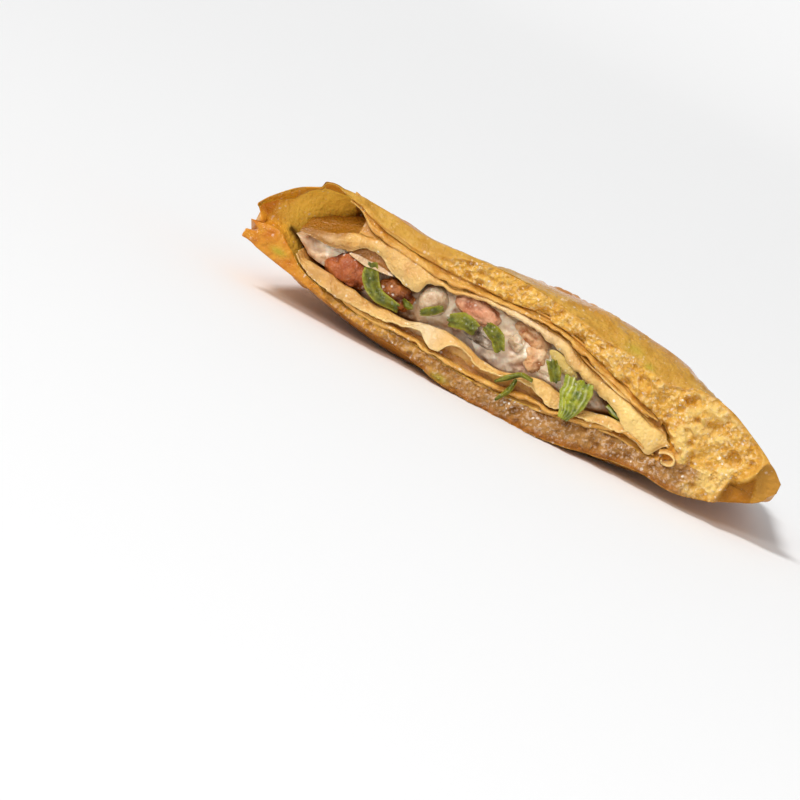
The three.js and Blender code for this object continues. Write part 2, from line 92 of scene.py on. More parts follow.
# Heights at places on the ruler: the cut face, the opening in it, the crest behind it, and the back.
FACE_TOP = smooth_line((-53.1, 14.5), (-50.4, 17.5), (-47.1, 20.5), (-43.7, 22.3), (-40.2, 23.9),
                       (-31, 23.8), (-21.6, 22.8), (-8.7, 23.8), (0.8, 23.5), (10.4, 22.2), (20.2, 20.9),
                       (28, 19.6), (33.8, 20.8), (39.7, 20.1), (45.9, 17.3), (50.5, 14.7), (53.3, 12.3))
FACE_BOTTOM = smooth_line((-52.3, 8), (-45.4, 6.5), (-36.1, 4.8), (-26.8, 3.1), (-17.5, 2.5), (-7.1, 0.4),
                          (11.8, 0.2), (21.1, 1.6), (29.7, 2.9), (36.4, 2.4), (42.2, 3.5), (47.9, 5.8),
                          (51.6, 8.1), (53.4, 11.8))
OPENING_TOP = smooth_line((-53.5, 14.3), (-46.9, 19.2), (-36.4, 22.4), (-28.8, 20.5), (-21.2, 19.5),
                          (-4.5, 19.4), (3, 19.9), (10.9, 18.5), (18.9, 16.2), (28.7, 13), (34.9, 9),
                          (38.9, 8.4), (54.5, 8.5))
OPENING_BOTTOM = smooth_line((-52.7, 11.6), (-46.9, 12), (-43.5, 10), (-40, 7.4), (-33.6, 5.9),
                             (-27, 4.8), (-17.9, 5), (-2.8, 3.8), (8.5, 4.5), (23.5, 6.9), (30.3, 6.1),
                             (35, 7.6), (38.9, 8.1), (54.5, 8.2))
CREST = smooth_line((-53.1, 13.8), (-43.3, 20.6), (-36.3, 22.3), (-28.9, 22.4), (-20.2, 22),
                    (-12.2, 22.5), (-1.2, 24.6), (8.4, 25.1), (18, 24.8), (27.8, 23.6), (35.9, 20.2),
                    (44, 16.4), (53.3, 11.5))
BACK = smooth_line((-53, 12.5), (-36, 15.5), (-20, 16.2), (-5, 17.8), (8, 18.2), (20, 17), (33, 14.2),
                   (44, 11), (53.3, 8.5))
# The parts of a ring, in their order.
TOP, UNDER, LOW_BAND, FLOOR, ROOF, TOP_BAND = range(6)
# The right tip: the height of its crease along the face, and where it begins at each height.
TIP_CREASE = smooth_line((44, 3), (44.9, 7.5), (45.4, 9.2), (47.4, 10.3), (48.8, 12), (49.5, 14.2),
                         (54, 15.2))
TIP_FROM = smooth_line((5, 44.2), (9, 45.2), (11.6, 47.2), (14.5, 47.6), (17.5, 45.4), (19.1, 41.5))
# Bubbles in the crust that the cut opened: place on the face, height, radius, depth.
PORES = ((21.2, 15.9, 1.6, 1.3), (33.5, 18.2, 1.8, 1.2), (35.4, 15.8, 1.2, 1.1), (38.2, 15.5, 2.6, 1.4),
         (43.7, 12.4, 2.0, 1.4), (30.3, 11, 2.4, 1.4), (33.5, 9.2, 1.6, 1.9), (2.2, 19.4, 2.4, 1.4),
         (9.9, 18.8, 1.8, 1.3), (24.3, 17.4, 1.6, 0.8), (39.9, 18.5, 1.5, 0.9), (28.4, 15.9, 1.4, 0.8))
# Above this line the skin rolls over the cut's upper edge; below it the cut shows the crust.
CRUST_EDGE = smooth_line((-43.8, 23.4), (-40.2, 23.4), (-34.6, 22.6), (-31.6, 21.6), (-27, 21),
                         (-19.5, 20.6), (-12, 22.9), (-3.1, 23.9), (3.7, 23), (8.5, 22.1), (13.4, 21.1),
                         (18.3, 20.7), (23.1, 20.2), (28, 19.2), (32.8, 20.4), (38, 20.2), (44, 17.8),
                         (50, 14.8))
# The shallow bowl inside the left tip: places along the face, and how deep it is there.
BOWL = ((-53, -50, -46, -42, -38, -33, -28), (0.2, 2, 4.5, 7, 10, 18, 43))
# The torn left edge: heights, and how far the edge is drawn in there.
TORN_EDGE = ((7.3, 7.6, 8.1, 9.7, 10.1, 10.9, 11.3, 11.6, 11.9, 12.5, 13.6, 14.8, 16.5),
             (3.6, 1.9, 0.3, 0.5, 2.6, 2.7, 1.7, 0.6, 2.2, 2.5, 1.3, 0.3, 0.0))
# The flake that stands up on top of the left tip: places along the face, and how high it is there.
FLAKE = ((-43.1, -42.8, -41.6, -39.4), (0, 1.0, 0.7, 0))
# A painted shadow along the gap at the left end of the filling, a dark line on the skin's inside: where it
# starts on the face, and how it runs from there.
SLIT = ((-46.0, 12.9), (5.3, -3.3))
# Green leaf that shows through the skin: place on the face, height, half width, half height.
STAINS = ((19.6, 21.7, 1.9, 0.8), (23.6, 20.2, 1.1, 0.5), (-9, 1.5, 1.7, 0.7), (-45.2, 8.6, 2.0, 0.7))


def smooth(start, end, x):
    """0 before start, 1 after end, and 3u^2 - 2u^3 of the share u of the way between."""
    u = np.clip((x - start) / (end - start), 0, 1)
    return u * u * (3 - 2 * u)


def scatter(cells, seed):
    """A repeatable random number from 0 to 1 for each whole-numbered cell: its three coordinates are
    multiplied by large odd numbers, joined, and mixed by shifting and multiplying twice."""
    keep = np.uint64(0xFFFFFFFF)
    c = cells.astype(np.int64).astype(np.uint64) & keep
    h = np.uint64(seed * 2654435 + 97)
    for axis, factor in enumerate((73856093, 19349663, 83492791)):
        h = h ^ (c[..., axis] * np.uint64(factor))
    h = h & keep
    for shift, factor in ((15, 2246822519), (13, 3266489917)):
        h = ((h ^ (h >> np.uint64(shift))) * np.uint64(factor)) & keep
    return (h ^ (h >> np.uint64(16))) / 2.0**32


def grain(points, size, seed=0):
    """Smooth noise from -1 to 1: each corner of a lattice of that size gets a random value, and a point
    takes the mean of its cell's eight corners, weighted by how near it is to each."""
    q = points / size
    base = np.floor(q)
    f = q - base
    f = f * f * (3 - 2 * f)
    total = 0.0
    for corner in np.ndindex(2, 2, 2):
        near = np.where(corner, f, 1 - f).prod(axis=-1)
        total = total + near * scatter(base + corner, seed)
    return 2 * total - 1


def bubbles(points, size, seed=0):
    """How far a point is from the nearest of the centres scattered one to a cell of a lattice, as a
    share of the cell's size, so 0 in the middle of a bubble and about 0.7 between bubbles."""
    q = points / size
    base = np.floor(q)
    nearest = np.full(points.shape[:-1], 9.0)
    for step in np.ndindex(3, 3, 3):
        cell = base + step - 1
        centre = cell + np.stack([scatter(cell, seed + axis) for axis in range(3)], axis=-1)
        nearest = np.minimum(nearest, ((q - centre) ** 2).sum(axis=-1))
    return np.sqrt(nearest)


def dome(points, size, seed, radius=0.5):
    """Rounded bumps from 0 to 1, one round each of the centres of bubbles, with 1 - (r / radius)^2."""
    return np.clip(1 - (bubbles(points, size, seed) / radius) ** 2, 0, 1)


def place(x, z, y=0.0):
    """Points at a place on the cut face's ruler, a height, and a depth behind the face."""
    return np.stack(np.broadcast_arrays(x - MIDDLE, y + CUT_PLANE, z), axis=-1).astype(float)


def outer_heights(s, y):
    """Top and bottom of the roll at s, from -1 at one tip to 1 at the other, and y behind the cut: from
    the outline of the face to the crest behind it, then down to the back fold, rounded at its edges."""
    x = MIDDLE + s * LENGTH / 2
    behind = 1 - np.exp(-y / 3.5)
    fall = np.clip(y / DEPTH - 0.1, 0, 1) / 0.9
    top = FACE_TOP(x) + (CREST(x) - FACE_TOP(x)) * behind
    top = top + (BACK(x) - top) * fall
    rest = (END_LIFT + (BACK_LIFT - END_LIFT) * y / DEPTH) * smooth(FLAT_SHARE, 1.05, np.abs(s))
    bottom = FACE_BOTTOM(x) + (rest - FACE_BOTTOM(x)) * smooth(0, 9.5, y)
    round_end = np.sqrt(np.maximum(1 - np.abs(s) ** 9, 0.0009))
    round_back = np.sqrt(np.clip(1 - np.clip(1 + (y / DEPTH - 1) / BACK_FOLD, 0, 1) ** 2.4, 0, 1))
    half = (top - bottom) / 2 * (1 + (round_end - 1) * behind) * round_back
    middle = (top + bottom) / 2
    return middle + half, np.maximum(middle - half, 0)


def inside_depth(s):
    """The inside reaches nearly to the back, but only as a shallow bowl at the left and not at the right."""
    bowl = np.interp(MIDDLE + s * LENGTH / 2, *BOWL)
    return np.maximum(np.minimum(CAVITY_DEPTH * (1 - smooth(0.42, 0.62, s)), bowl), 0.04)


def inside_heights(s, y):
    """Roof and floor of the inside: the opening at the cut, and the outer heights less the skin's
    thickness farther in, closing like a rounded box at the back."""
    x = MIDDLE + s * LENGTH / 2
    face_top, face_bottom = outer_heights(s, 0 * y)
    top, bottom = outer_heights(s, y)
    packed = smooth(0, PACKED_FROM, y)
    thin_rim = 1 - smooth(-41, -33, x)
    roof = np.minimum(OPENING_TOP(x), face_top - 0.9)
    roof = roof + (face_top - 0.3 - roof) * thin_rim
    floor = np.maximum(OPENING_BOTTOM(x), face_bottom + 0.9)
    roof = roof + (top - SKIN - roof) * packed
    floor = floor + (bottom + SKIN - floor) * packed
    closing = np.sqrt(np.clip(1 - (y / inside_depth(s)) ** (8 - 5.5 * thin_rim), 0, 1))
    half = np.maximum((roof - floor) / 2, 0.12 - 0.11 * smooth(34, 37, x)) * closing
    return (roof + floor) / 2 + half, (roof + floor) / 2 - half


def normals(grid):
    """Unit normals of a grid that closes on itself along its second direction: the cross product of the
    steps to the neighbours along both directions."""
    along = np.gradient(grid, axis=0)
    around = np.roll(grid, -1, axis=1) - np.roll(grid, 1, axis=1)
    n = np.cross(along, around)
    return n / np.maximum(np.linalg.norm(n, axis=-1, keepdims=True), 1e-9)


def put_in_scene(name, points, faces, masks=None, smooth_shaded=True):
    """A mesh object at the origin from points in millimetres, with one attribute for each mask."""
    mesh = bpy.data.meshes.new(name)
    mesh.from_pydata((points * MM).tolist(), [], faces)
    mesh.polygons.foreach_set("use_smooth", [smooth_shaded] * len(mesh.polygons))
    for mask, values in (masks or {}).items():
        attribute = mesh.attributes.new(mask, "FLOAT", "POINT")
        attribute.data.foreach_set("value", np.asarray(values, np.float32).ravel())
    mesh.update()
    piece = bpy.data.objects.new(name, mesh)
    scene.collection.objects.link(piece)
    return piece


def ring_faces(rings, count):
    """Quads between neighbouring rings of count points, and a fan to one more point at each end."""
    i, j = np.meshgrid(np.arange(rings - 1), np.arange(count), indexing="ij")
    k = (j + 1) % count
    quads = np.stack([i * count + j, i * count + k, (i + 1) * count + k, (i + 1) * count + j], axis=-1)
    j = np.arange(count)
    k = (j + 1) % count
    first, tail = rings * count, (rings - 1) * count
    near = np.stack([np.full(count, first), k, j], axis=-1)
    far = np.stack([np.full(count, first + 1), tail + j, tail + k], axis=-1)
    return quads.reshape(-1, 4).tolist() + near.tolist() + far.tolist()


def tube_piece(name, grid, masks, flat_ends=False):
    """A closed piece from rings of points one after another, with its two ends drawn to a point, or each
    closed by one flat face."""
    rings, count = grid.shape[:2]
    if flat_ends:
        sides = ring_faces(rings, count)[:-2 * count]
        caps = [list(range(count))[::-1], list(range((rings - 1) * count, rings * count))]
        piece = put_in_scene(name, grid.reshape(-1, 3), sides + caps, masks)
        for cap in piece.data.polygons[-2:]:
            cap.use_smooth = False
        return piece
    ends = [grid[0].mean(axis=0), grid[-1].mean(axis=0)]
    points = np.concatenate([grid.reshape(-1, 3), ends])
    masks = {k: np.concatenate([v.ravel(), [v[0].mean(), v[-1].mean()]]) for k, v in masks.items()}
    return put_in_scene(name, points, ring_faces(*grid.shape[:2]), masks)


def make_fried_skin():
    """The wrapper's surface, ring by ring from tip to tip. A ring runs over the top to the back fold, back
    along the underside, up the lower cut band, round the inside and up the upper cut band. It is then
    pushed along its normals by blisters and creases, and on the cut bands by lumps, bubbles and pores."""
    even = np.linspace(-1, 1, SKIN_RINGS)[:, None]
    s = even + (np.sin(even * np.pi / 2) - even) * 0.35
    x = MIDDLE + s * LENGTH / 2
    t = np.linspace(0, 1, TOP_POINTS)[None, :]
    top_y = DEPTH * (t + np.sin(t * np.pi / 2)) / 2
    low_y = DEPTH * np.linspace(0.985, 0, UNDER_POINTS)[None, :] ** 0.9
    in_y = inside_depth(s) * np.linspace(0, 0.985, INSIDE_POINTS)[None, :] ** 1.3
    low_band = np.linspace(0, 1, LOW_BAND_POINTS)[None, 1:-1]
    top_band = np.linspace(0, 1, TOP_BAND_POINTS)[None, 1:-1]
    face_top, face_bottom = outer_heights(s, 0 * s)
    roof, floor = inside_heights(s, 0 * s)

    heights = [outer_heights(s, top_y)[0], outer_heights(s, low_y)[1],
               face_bottom + (floor - face_bottom) * low_band, inside_heights(s, in_y)[1],
               inside_heights(s, in_y[:, ::-1])[0], roof + (face_top - roof) * top_band]
    depths = [top_y, low_y, 0 * low_band, in_y, in_y[:, ::-1], 0 * top_band]
    depths = [np.broadcast_to(d, h.shape) for d, h in zip(depths, heights)]
    part = np.concatenate([np.full(h.shape[1], i) for i, h in enumerate(heights)])[None, :]
    z, y = np.concatenate(heights, axis=1), np.concatenate(depths, axis=1)
    shorter = 1 - CORNER_TAPER * (y / DEPTH) ** 1.4
    torn = np.interp(z, TORN_EDGE[0], TORN_EDGE[1]) * smooth(-0.93, -1, s) * (1 - smooth(0, 14, y))
    grid = np.stack([s * LENGTH / 2 * shorter + torn, y + CUT_PLANE, z], axis=-1)
    ruler = np.broadcast_to(x, z.shape)
    whole = np.ones_like(z)
    flake = np.interp(ruler, *FLAKE) * np.exp(-(y / 2.5) ** 2)
    grid[..., 2] += flake * smooth(0.8, 1, (z - face_bottom) / (face_top - face_bottom))

    closed = np.isin(part, (FLOOR, ROOF)) * smooth(33, 36, ruler)
    on_face = np.isin(part, (LOW_BAND, TOP_BAND)) * whole + closed
    lower, upper = (part == LOW_BAND) * whole, (part == TOP_BAND) * whole
    top_share = upper * (z - roof) / np.maximum(face_top - roof, 0.5)
    low_share = lower * (z - face_bottom) / np.maximum(floor - face_bottom, 0.5)
    share = top_share + low_share
    face_points = place(ruler, z)
    wander = grain(face_points, 2.4, 5)

    # the right tip is closed by smooth skin that folds in below a slanting crease, and at the left the
    # layers have parted, so the bubbly crust only begins where they are fried into one
    crease = TIP_CREASE(ruler)
    tip_from = TIP_FROM(z)
    tip = smooth(-0.7, 0.9, ruler - tip_from + 0.9 * wander)
    fold_in = smooth(-0.4, 1.3, crease - z + 0.3 * wander) * smooth(43.9, 45.2, ruler)
    outer_fold = smooth(48.9, 49.7, ruler + 0.25 * (z - 10) + 0.3 * wander)
    outer_fold = outer_fold * smooth(-0.4, 1.3, crease + 1 - z)
    bulge = np.exp(-((ruler - 47.3) / 3) ** 2 - ((z - 12.4) / 2.2) ** 2)
    rolled = smooth(-0.5, 0.5, z - CRUST_EDGE(ruler) + 0.35 * wander) * upper
    crusty = smooth(-27, -14, ruler + 2 * wander) * upper + closed
    crusty = crusty + smooth(-42, -28, ruler + 3 * wander) * lower
    crust = crusty * (1 - tip) * (1 - rolled)
    layered = upper * (1 - rolled) * (1 - crusty) * smooth(-40, -35, ruler)

    pits = 0.0
    for at_x, at_z, wide, deep in PORES:
        away = np.hypot(ruler - at_x + 1.1 * grain(face_points, 1.8, 3),
                        z - at_z + 0.9 * grain(face_points, 1.5, 4))
        pits = pits + deep * (1 - smooth(0.2 * wide, wide, away))
    broad, middling = grain(face_points, 5.2, 11), grain(face_points, 2.1, 12)
    small = grain(face_points, 0.9, 13)
    lumps = 0.7 * broad + 0.5 * middling + 0.25 * small
    cells = dome(face_points, 1.9, 21) * smooth(-0.3, 0.3, grain(face_points, 4, 14))
    puffs = smooth(-0.1, 0.6, middling + 0.6 * small)
    beads = dome(face_points, 0.8, 31) ** 0.5
    relief = pits - lumps + 0.75 * cells - 0.3 * beads
    plies = 0.28 * np.sin(5.2 * (z - OPENING_TOP(ruler)) + 1.4 * wander) * layered
    edge = (1 - np.sqrt(np.clip(1 - np.abs(2 * share - 1) ** 7, 0, 1))) * (1 - closed)
    at_slit = smooth(0.7, 1, np.where(part == TOP_BAND, 1 - top_share, low_share)) * smooth(33, 36, ruler)
    edge = edge * (1 - at_slit)
    crust_top = CRUST_EDGE(ruler)
    roll_back = 1.5 * smooth(0, 1, (z - crust_top) / np.maximum(face_top - crust_top, 1.5)) * rolled
    folds = 1.7 * fold_in - 0.7 * outer_fold - 1.4 * bulge * tip
    pushed_back = on_face * (crust * relief + 0.6 * edge + folds) + plies + roll_back
    grid[..., 1] += pushed_back
    # the skin next to each edge of the cut bands goes with that edge
    low_columns, top_columns = np.flatnonzero(part[0] == LOW_BAND), np.flatnonzero(part[0] == TOP_BAND)
    neighbours = ((TOP, top_columns[-1]), (UNDER, low_columns[0]), (FLOOR, low_columns[-1]),
                  (ROOF, top_columns[0]))
    for beside, column in neighbours:
        grid[..., 1] += (part == beside) * (1 - closed) * pushed_back[:, column, None] * np.exp(-y / 3)

    # blisters and creases over the smooth skin
    outside = np.isin(part, (TOP, UNDER)) * smooth(0.3, 2.5, y)
    under = (part == UNDER) * smooth(-0.2, 0.2, 4 - z)
    waves = 0.9 * grain(grid, 15, 42) + 0.45 * grain(grid, 6.5, 43)
    wrinkles = np.clip(1 - np.abs(grain(grid * (0.3, 1, 1), 3.6, 41)) * 4, 0, 1)
    seam = 31 + 2.5 * np.sin(ruler / 13) + 1.6 * grain(place(ruler, 0 * z), 5, 53)
    overlap = smooth(-0.3, 0.3, y - seam) * (1 - smooth(40, 47, y)) * (part == TOP)
    patch = smooth(-0.1, 0.5, grain(grid, 9, 44))
    blisters = dome(grid, 2.4, 45) ** 0.7 * patch
    swells = dome(grid * (0.6, 1, 1), 5.5, 51, radius=0.6) * smooth(-0.2, 0.4, grain(grid, 14, 52))
    lift = 0.45 * waves + 0.35 * wrinkles + 0.45 * blisters + 0.6 * swells + 0.45 * overlap
    lift = outside * lift * (1 - under)
    inside = np.isin(part, (FLOOR, ROOF)) * (1 - closed)
    smooth_face = on_face * (1 - crust)
    lift = lift + 0.14 * inside * grain(grid * (0.4, 1, 1), 1.8, 46)
    lift = lift + smooth_face * (0.22 * grain(grid * (0.5, 1, 1), 2.6, 47) + 0.08 * grain(grid, 0.9, 48))
    facing = normals(grid)
    if facing[SKIN_RINGS // 2, TOP_POINTS // 3, 2] < 0:
        facing = -facing
    calm_edge = (1 - smooth(0.95, 0.998, np.abs(s))) * (1 - smooth(0.95, 1, y / DEPTH))
    grid = grid + facing * (lift * calm_edge)[..., None]
    grid[..., 2] = np.maximum(grid[..., 2], 0)

    stain = 0.0
    for at_x, at_z, wide, tall in STAINS:
        stain = stain + np.exp(-((ruler - at_x) / wide) ** 2 - ((z - at_z) / tall) ** 2)
    (slit_x, slit_z), (run_x, run_z) = SLIT
    along = ((ruler - slit_x) * run_x + (z - slit_z) * run_z) / (run_x ** 2 + run_z ** 2)
    along = np.clip(along, 0, 1)
    slit_shadow = np.hypot(ruler - slit_x - run_x * along, z - slit_z - run_z * along) / (0.45 + 0.8 * along)
    near_cut = (1 - smooth(2, 12, y + 2 * grain(grid, 6, 49))) * (part == TOP)
    masks = {
        "crust": crust,
        "low": lower * smooth(-44, -34, ruler) * (1 - smooth(37, 43, ruler + 2 * wander)),
        "cells": cells * crust,
        "puffs": puffs * crust * (0.35 + 0.65 * smooth(24, 34, ruler)),
        "golden": 1 - smooth(-30, 0, ruler),
        "layered": layered,
        "inner": inside * (1 - smooth(22, 29, ruler)),
        "blister": outside * np.clip(blisters + 0.6 * swells, 0, 1),
        "wet": 0.5 + 0.4 * outside * smooth(3, 9, y) - 0.35 * on_face * fold_in - 0.2 * inside,
        "back": np.isin(part, (TOP, UNDER)) * smooth(4, 13, y),
        # painted shade: the inside is coloured browner the deeper it lies
        "deep": inside * smooth(0.5, 9, y),
        "recess": crust * np.clip(pits / 2.2, 0, 1),
        "lip": lower * (1 - smooth(0.05, 0.35, low_share)) + (part == UNDER) * (1 - smooth(1, 5, y)),
        "tip": tip * on_face,
        # painted shade in the fold below the right tip's crease
        "fold": on_face * fold_in * (1 - outer_fold),
        "amber": on_face * outer_fold,
        # painted shadow: a dark line along the gap at the left end of the filling
        "slit_shadow": inside * np.exp(-slit_shadow ** 2),
        "pale": near_cut * smooth(-30, -10, ruler) + rolled,
        "stain": np.clip(stain * (0.7 + 0.6 * wander), 0, 1) * np.maximum(on_face, near_cut),
        "flap": lower * (1 - smooth(-44, -34, ruler))
        + inside * smooth(-40, -50, ruler) * (1 - smooth(1, 5, y)),
    }
    return tube_piece("fried_skin", grid, masks, flat_ends=True)


def srgb(red, green, blue):
    """A colour as a screen shows it, 0 to 255, turned into the linear values that shaders use."""
    c = np.array((red, green, blue)) / 255
    return (*np.where(c <= 0.04045, c / 12.92, ((c + 0.055) / 1.055) ** 2.4), 1.0)


def add_node(tree, kind, inputs=None, **settings):
    """A node of that kind, with its settings, and with each named input set or linked."""
    node = tree.nodes.new(kind)
    for key, value in settings.items():
        setattr(node, key, value)
    for key, value in (inputs or {}).items():
        socket = node.inputs[key]
        if isinstance(value, bpy.types.NodeSocket):
            tree.links.new(value, socket)
        else:
            socket.default_value = value
    return node


def millimetres(tree):
    """Object coordinates in millimetres."""
    where = add_node(tree, "ShaderNodeTexCoord").outputs["Object"]
    return add_node(tree, "ShaderNodeMapping", {"Vector": where, "Scale": (1000, 1000, 1000)}).outputs[0]


def blend(tree, factor, first, second):
    """The first colour where factor is 0, the second where it is 1. A colour is another node's, or three
    numbers as a screen shows them."""
    first, second = (srgb(*colour) if isinstance(colour, tuple) else colour for colour in (first, second))
    mix = add_node(tree, "ShaderNodeMix", {0: factor, 6: first, 7: second}, data_type="RGBA")
    return mix.outputs[2]


def mask(tree, name):
    return add_node(tree, "ShaderNodeAttribute", attribute_name=name).outputs["Fac"]


def paint(tree, colour, *coats):
    """The colour with coats over it, one after another. Each coat is the name of the mask, or the value,
    that says where it lies, how much of it covers there, and its colour."""
    for where, share, coat in coats:
        factor = mask(tree, where) if isinstance(where, str) else where
        factor = math(tree, "MULTIPLY", factor, share) if share < 1 else factor
        colour = blend(tree, factor, colour, coat)
    return colour


def between(tree, value, low, high, to_low=0.0, to_high=1.0):
    """value carried from the range low to high onto to_low to to_high, and held there outside it."""
    inputs = {"Value": value, "From Min": low, "From Max": high, "To Min": to_low, "To Max": to_high}
    return add_node(tree, "ShaderNodeMapRange", inputs).outputs[0]


def math(tree, operation, a, b=0.0):
    return add_node(tree, "ShaderNodeMath", {0: a, 1: b}, operation=operation).outputs[0]


def new_group(name, inputs, outputs):
    """An empty node group with those number inputs and outputs, its input and its output node."""
    group = bpy.data.node_groups.new(name, "ShaderNodeTree")
    for label, kind in inputs:
        group.interface.new_socket(label, in_out="INPUT", socket_type=kind)
    for label, kind in outputs:
        group.interface.new_socket(label, in_out="OUTPUT", socket_type=kind)
    return group, group.nodes.new("NodeGroupInput"), group.nodes.new("NodeGroupOutput")


def make_mottle_group():
    """Uneven frying: broad patches, and small spots where a bubble touched the oil."""
    group, given, out = new_group(
        "mottle",
        [("Vector", "NodeSocketVector"), ("Patch", "NodeSocketFloat"), ("Spot", "NodeSocketFloat")],
        [("Patches", "NodeSocketFloat"), ("Spots", "NodeSocketFloat"), ("Grain", "NodeSocketFloat")],
    )
    patch = math(group, "DIVIDE", 1.0, given.outputs["Patch"])
    fleck = math(group, "DIVIDE", 1.0, given.outputs["Spot"])
    vector = given.outputs["Vector"]
    broad = add_node(group, "ShaderNodeTexNoise", {"Vector": vector, "Scale": patch, "Detail": 4.0})
    cells = add_node(group, "ShaderNodeTexVoronoi", {"Vector": vector, "Scale": fleck})
    fine = add_node(group, "ShaderNodeTexNoise", {"Vector": vector, "Scale": fleck, "Detail": 6.0})
    group.links.new(between(group, broad.outputs["Fac"], 0.36, 0.64), out.inputs["Patches"])
    group.links.new(between(group, cells.outputs["Distance"], 0.35, 0.1), out.inputs["Spots"])
    group.links.new(fine.outputs["Fac"], out.inputs["Grain"])
    return group


def make_oil_group():
    """The film of frying oil: scattered droplets and a ripple that catch the light, as a height; how rough
    the surface under them is; and the few droplets that get a painted white highlight, the painted glints."""
    group, given, out = new_group(
        "oil_film",
        [("Vector", "NodeSocketVector"), ("Bead", "NodeSocketFloat")],
        [("Height", "NodeSocketFloat"), ("Roughness", "NodeSocketFloat"), ("Painted Glints", "NodeSocketFloat")],
    )
    scale = math(group, "DIVIDE", 1.0, given.outputs["Bead"])
    vector = given.outputs["Vector"]
    beads = add_node(group, "ShaderNodeTexVoronoi", {"Vector": vector, "Scale": scale})
    ripple = add_node(group, "ShaderNodeTexNoise", {"Vector": vector, "Scale": scale, "Detail": 3.0})
    uneven = math(group, "MULTIPLY", math(group, "SUBTRACT", ripple.outputs["Fac"], 0.5), 1.1)
    drop = between(group, math(group, "ADD", beads.outputs["Distance"], uneven), 0.5, 0.0)
    rounded = math(group, "POWER", drop, 0.6)
    height = math(group, "ADD", math(group, "MULTIPLY", rounded, 0.6), ripple.outputs["Fac"])
    film = add_node(group, "ShaderNodeTexNoise",
                    {"Vector": vector, "Scale": math(group, "MULTIPLY", scale, 0.2), "Detail": 2.0})
    picked = add_node(group, "ShaderNodeSeparateColor", {"Color": beads.outputs["Color"]})
    # painted glints: some of the droplets get a white highlight painted into the colour
    painted_glint_spots = between(group, picked.outputs[0], 0.5, 0.85)
    painted_glint_spots = math(group, "MULTIPLY", painted_glint_spots, between(group, drop, 0.4, 0.75))
    painted_glint_spots = math(group, "MULTIPLY", painted_glint_spots, between(group, film.outputs["Fac"], 0.42, 0.6))
    group.links.new(height, out.inputs["Height"])
    group.links.new(between(group, film.outputs["Fac"], 0.35, 0.65, 0.5, 0.28), out.inputs["Roughness"])
    group.links.new(painted_glint_spots, out.inputs["Painted Glints"])
    return group


MOTTLE = make_mottle_group()
OIL = make_oil_group()
# The colour of the painted glints: white highlights painted into the base colour.
PAINTED_GLINT = (255, 246, 232)


def use_group(tree, group, vector, **values):
    node = tree.nodes.new("ShaderNodeGroup")
    node.node_tree = group
    tree.links.new(vector, node.inputs["Vector"])
    for name, value in values.items():
        node.inputs[name].default_value = value
    return node.outputs


def new_material(name):
    material = bpy.data.materials.new(name)
    material.use_nodes = True
    return material, material.node_tree, material.node_tree.nodes["Principled BSDF"]


def mottled_material(name, bead, *mottles):
    """A material with its node tree and shader, its film of oil with beads of that size, and one mottling
    for each pair of sizes, of the patches and of the spots."""
    material, tree, shader = new_material(name)
    where = millimetres(tree)
    oil = use_group(tree, OIL, where, Bead=bead)
    return material, tree, shader, oil, *(use_group(tree, MOTTLE, where, Patch=p, Spot=s) for p, s in mottles)


def finish_surface(tree, shader, colour, oil, heights, painted_glint_share, ripple=1.0, **constants):
    """Turns each (height, distance in mm) into a bump, one after another, adds the film of oil as a coat
    with its own ripple, paints white glints into the colour as painted highlights, and sets the constants on
    the shader's sockets of that name."""
    colour = blend(tree, math(tree, "MULTIPLY", oil["Painted Glints"], painted_glint_share), colour, PAINTED_GLINT)
    tree.links.new(colour, shader.inputs["Base Color"])
    tree.links.new(oil["Roughness"], shader.inputs["Roughness"])
    normal = None
    for height, distance in heights:
        inputs = {"Height": height, "Distance": distance * MM, "Strength": 1.0}
        if normal is not None:
            inputs["Normal"] = normal
        normal = add_node(tree, "ShaderNodeBump", inputs).outputs[0]
    tree.links.new(normal, shader.inputs["Normal"])
    film = math(tree, "MULTIPLY", oil["Height"], ripple)
    wet = {"Height": film, "Distance": 0.24 * MM, "Strength": 1.0, "Normal": normal}
    tree.links.new(add_node(tree, "ShaderNodeBump", wet).outputs[0], shader.inputs["Coat Normal"])
    for name, value in constants.items():
        shader.inputs[name.replace("_", " ").title().replace("Ior", "IOR")].default_value = value


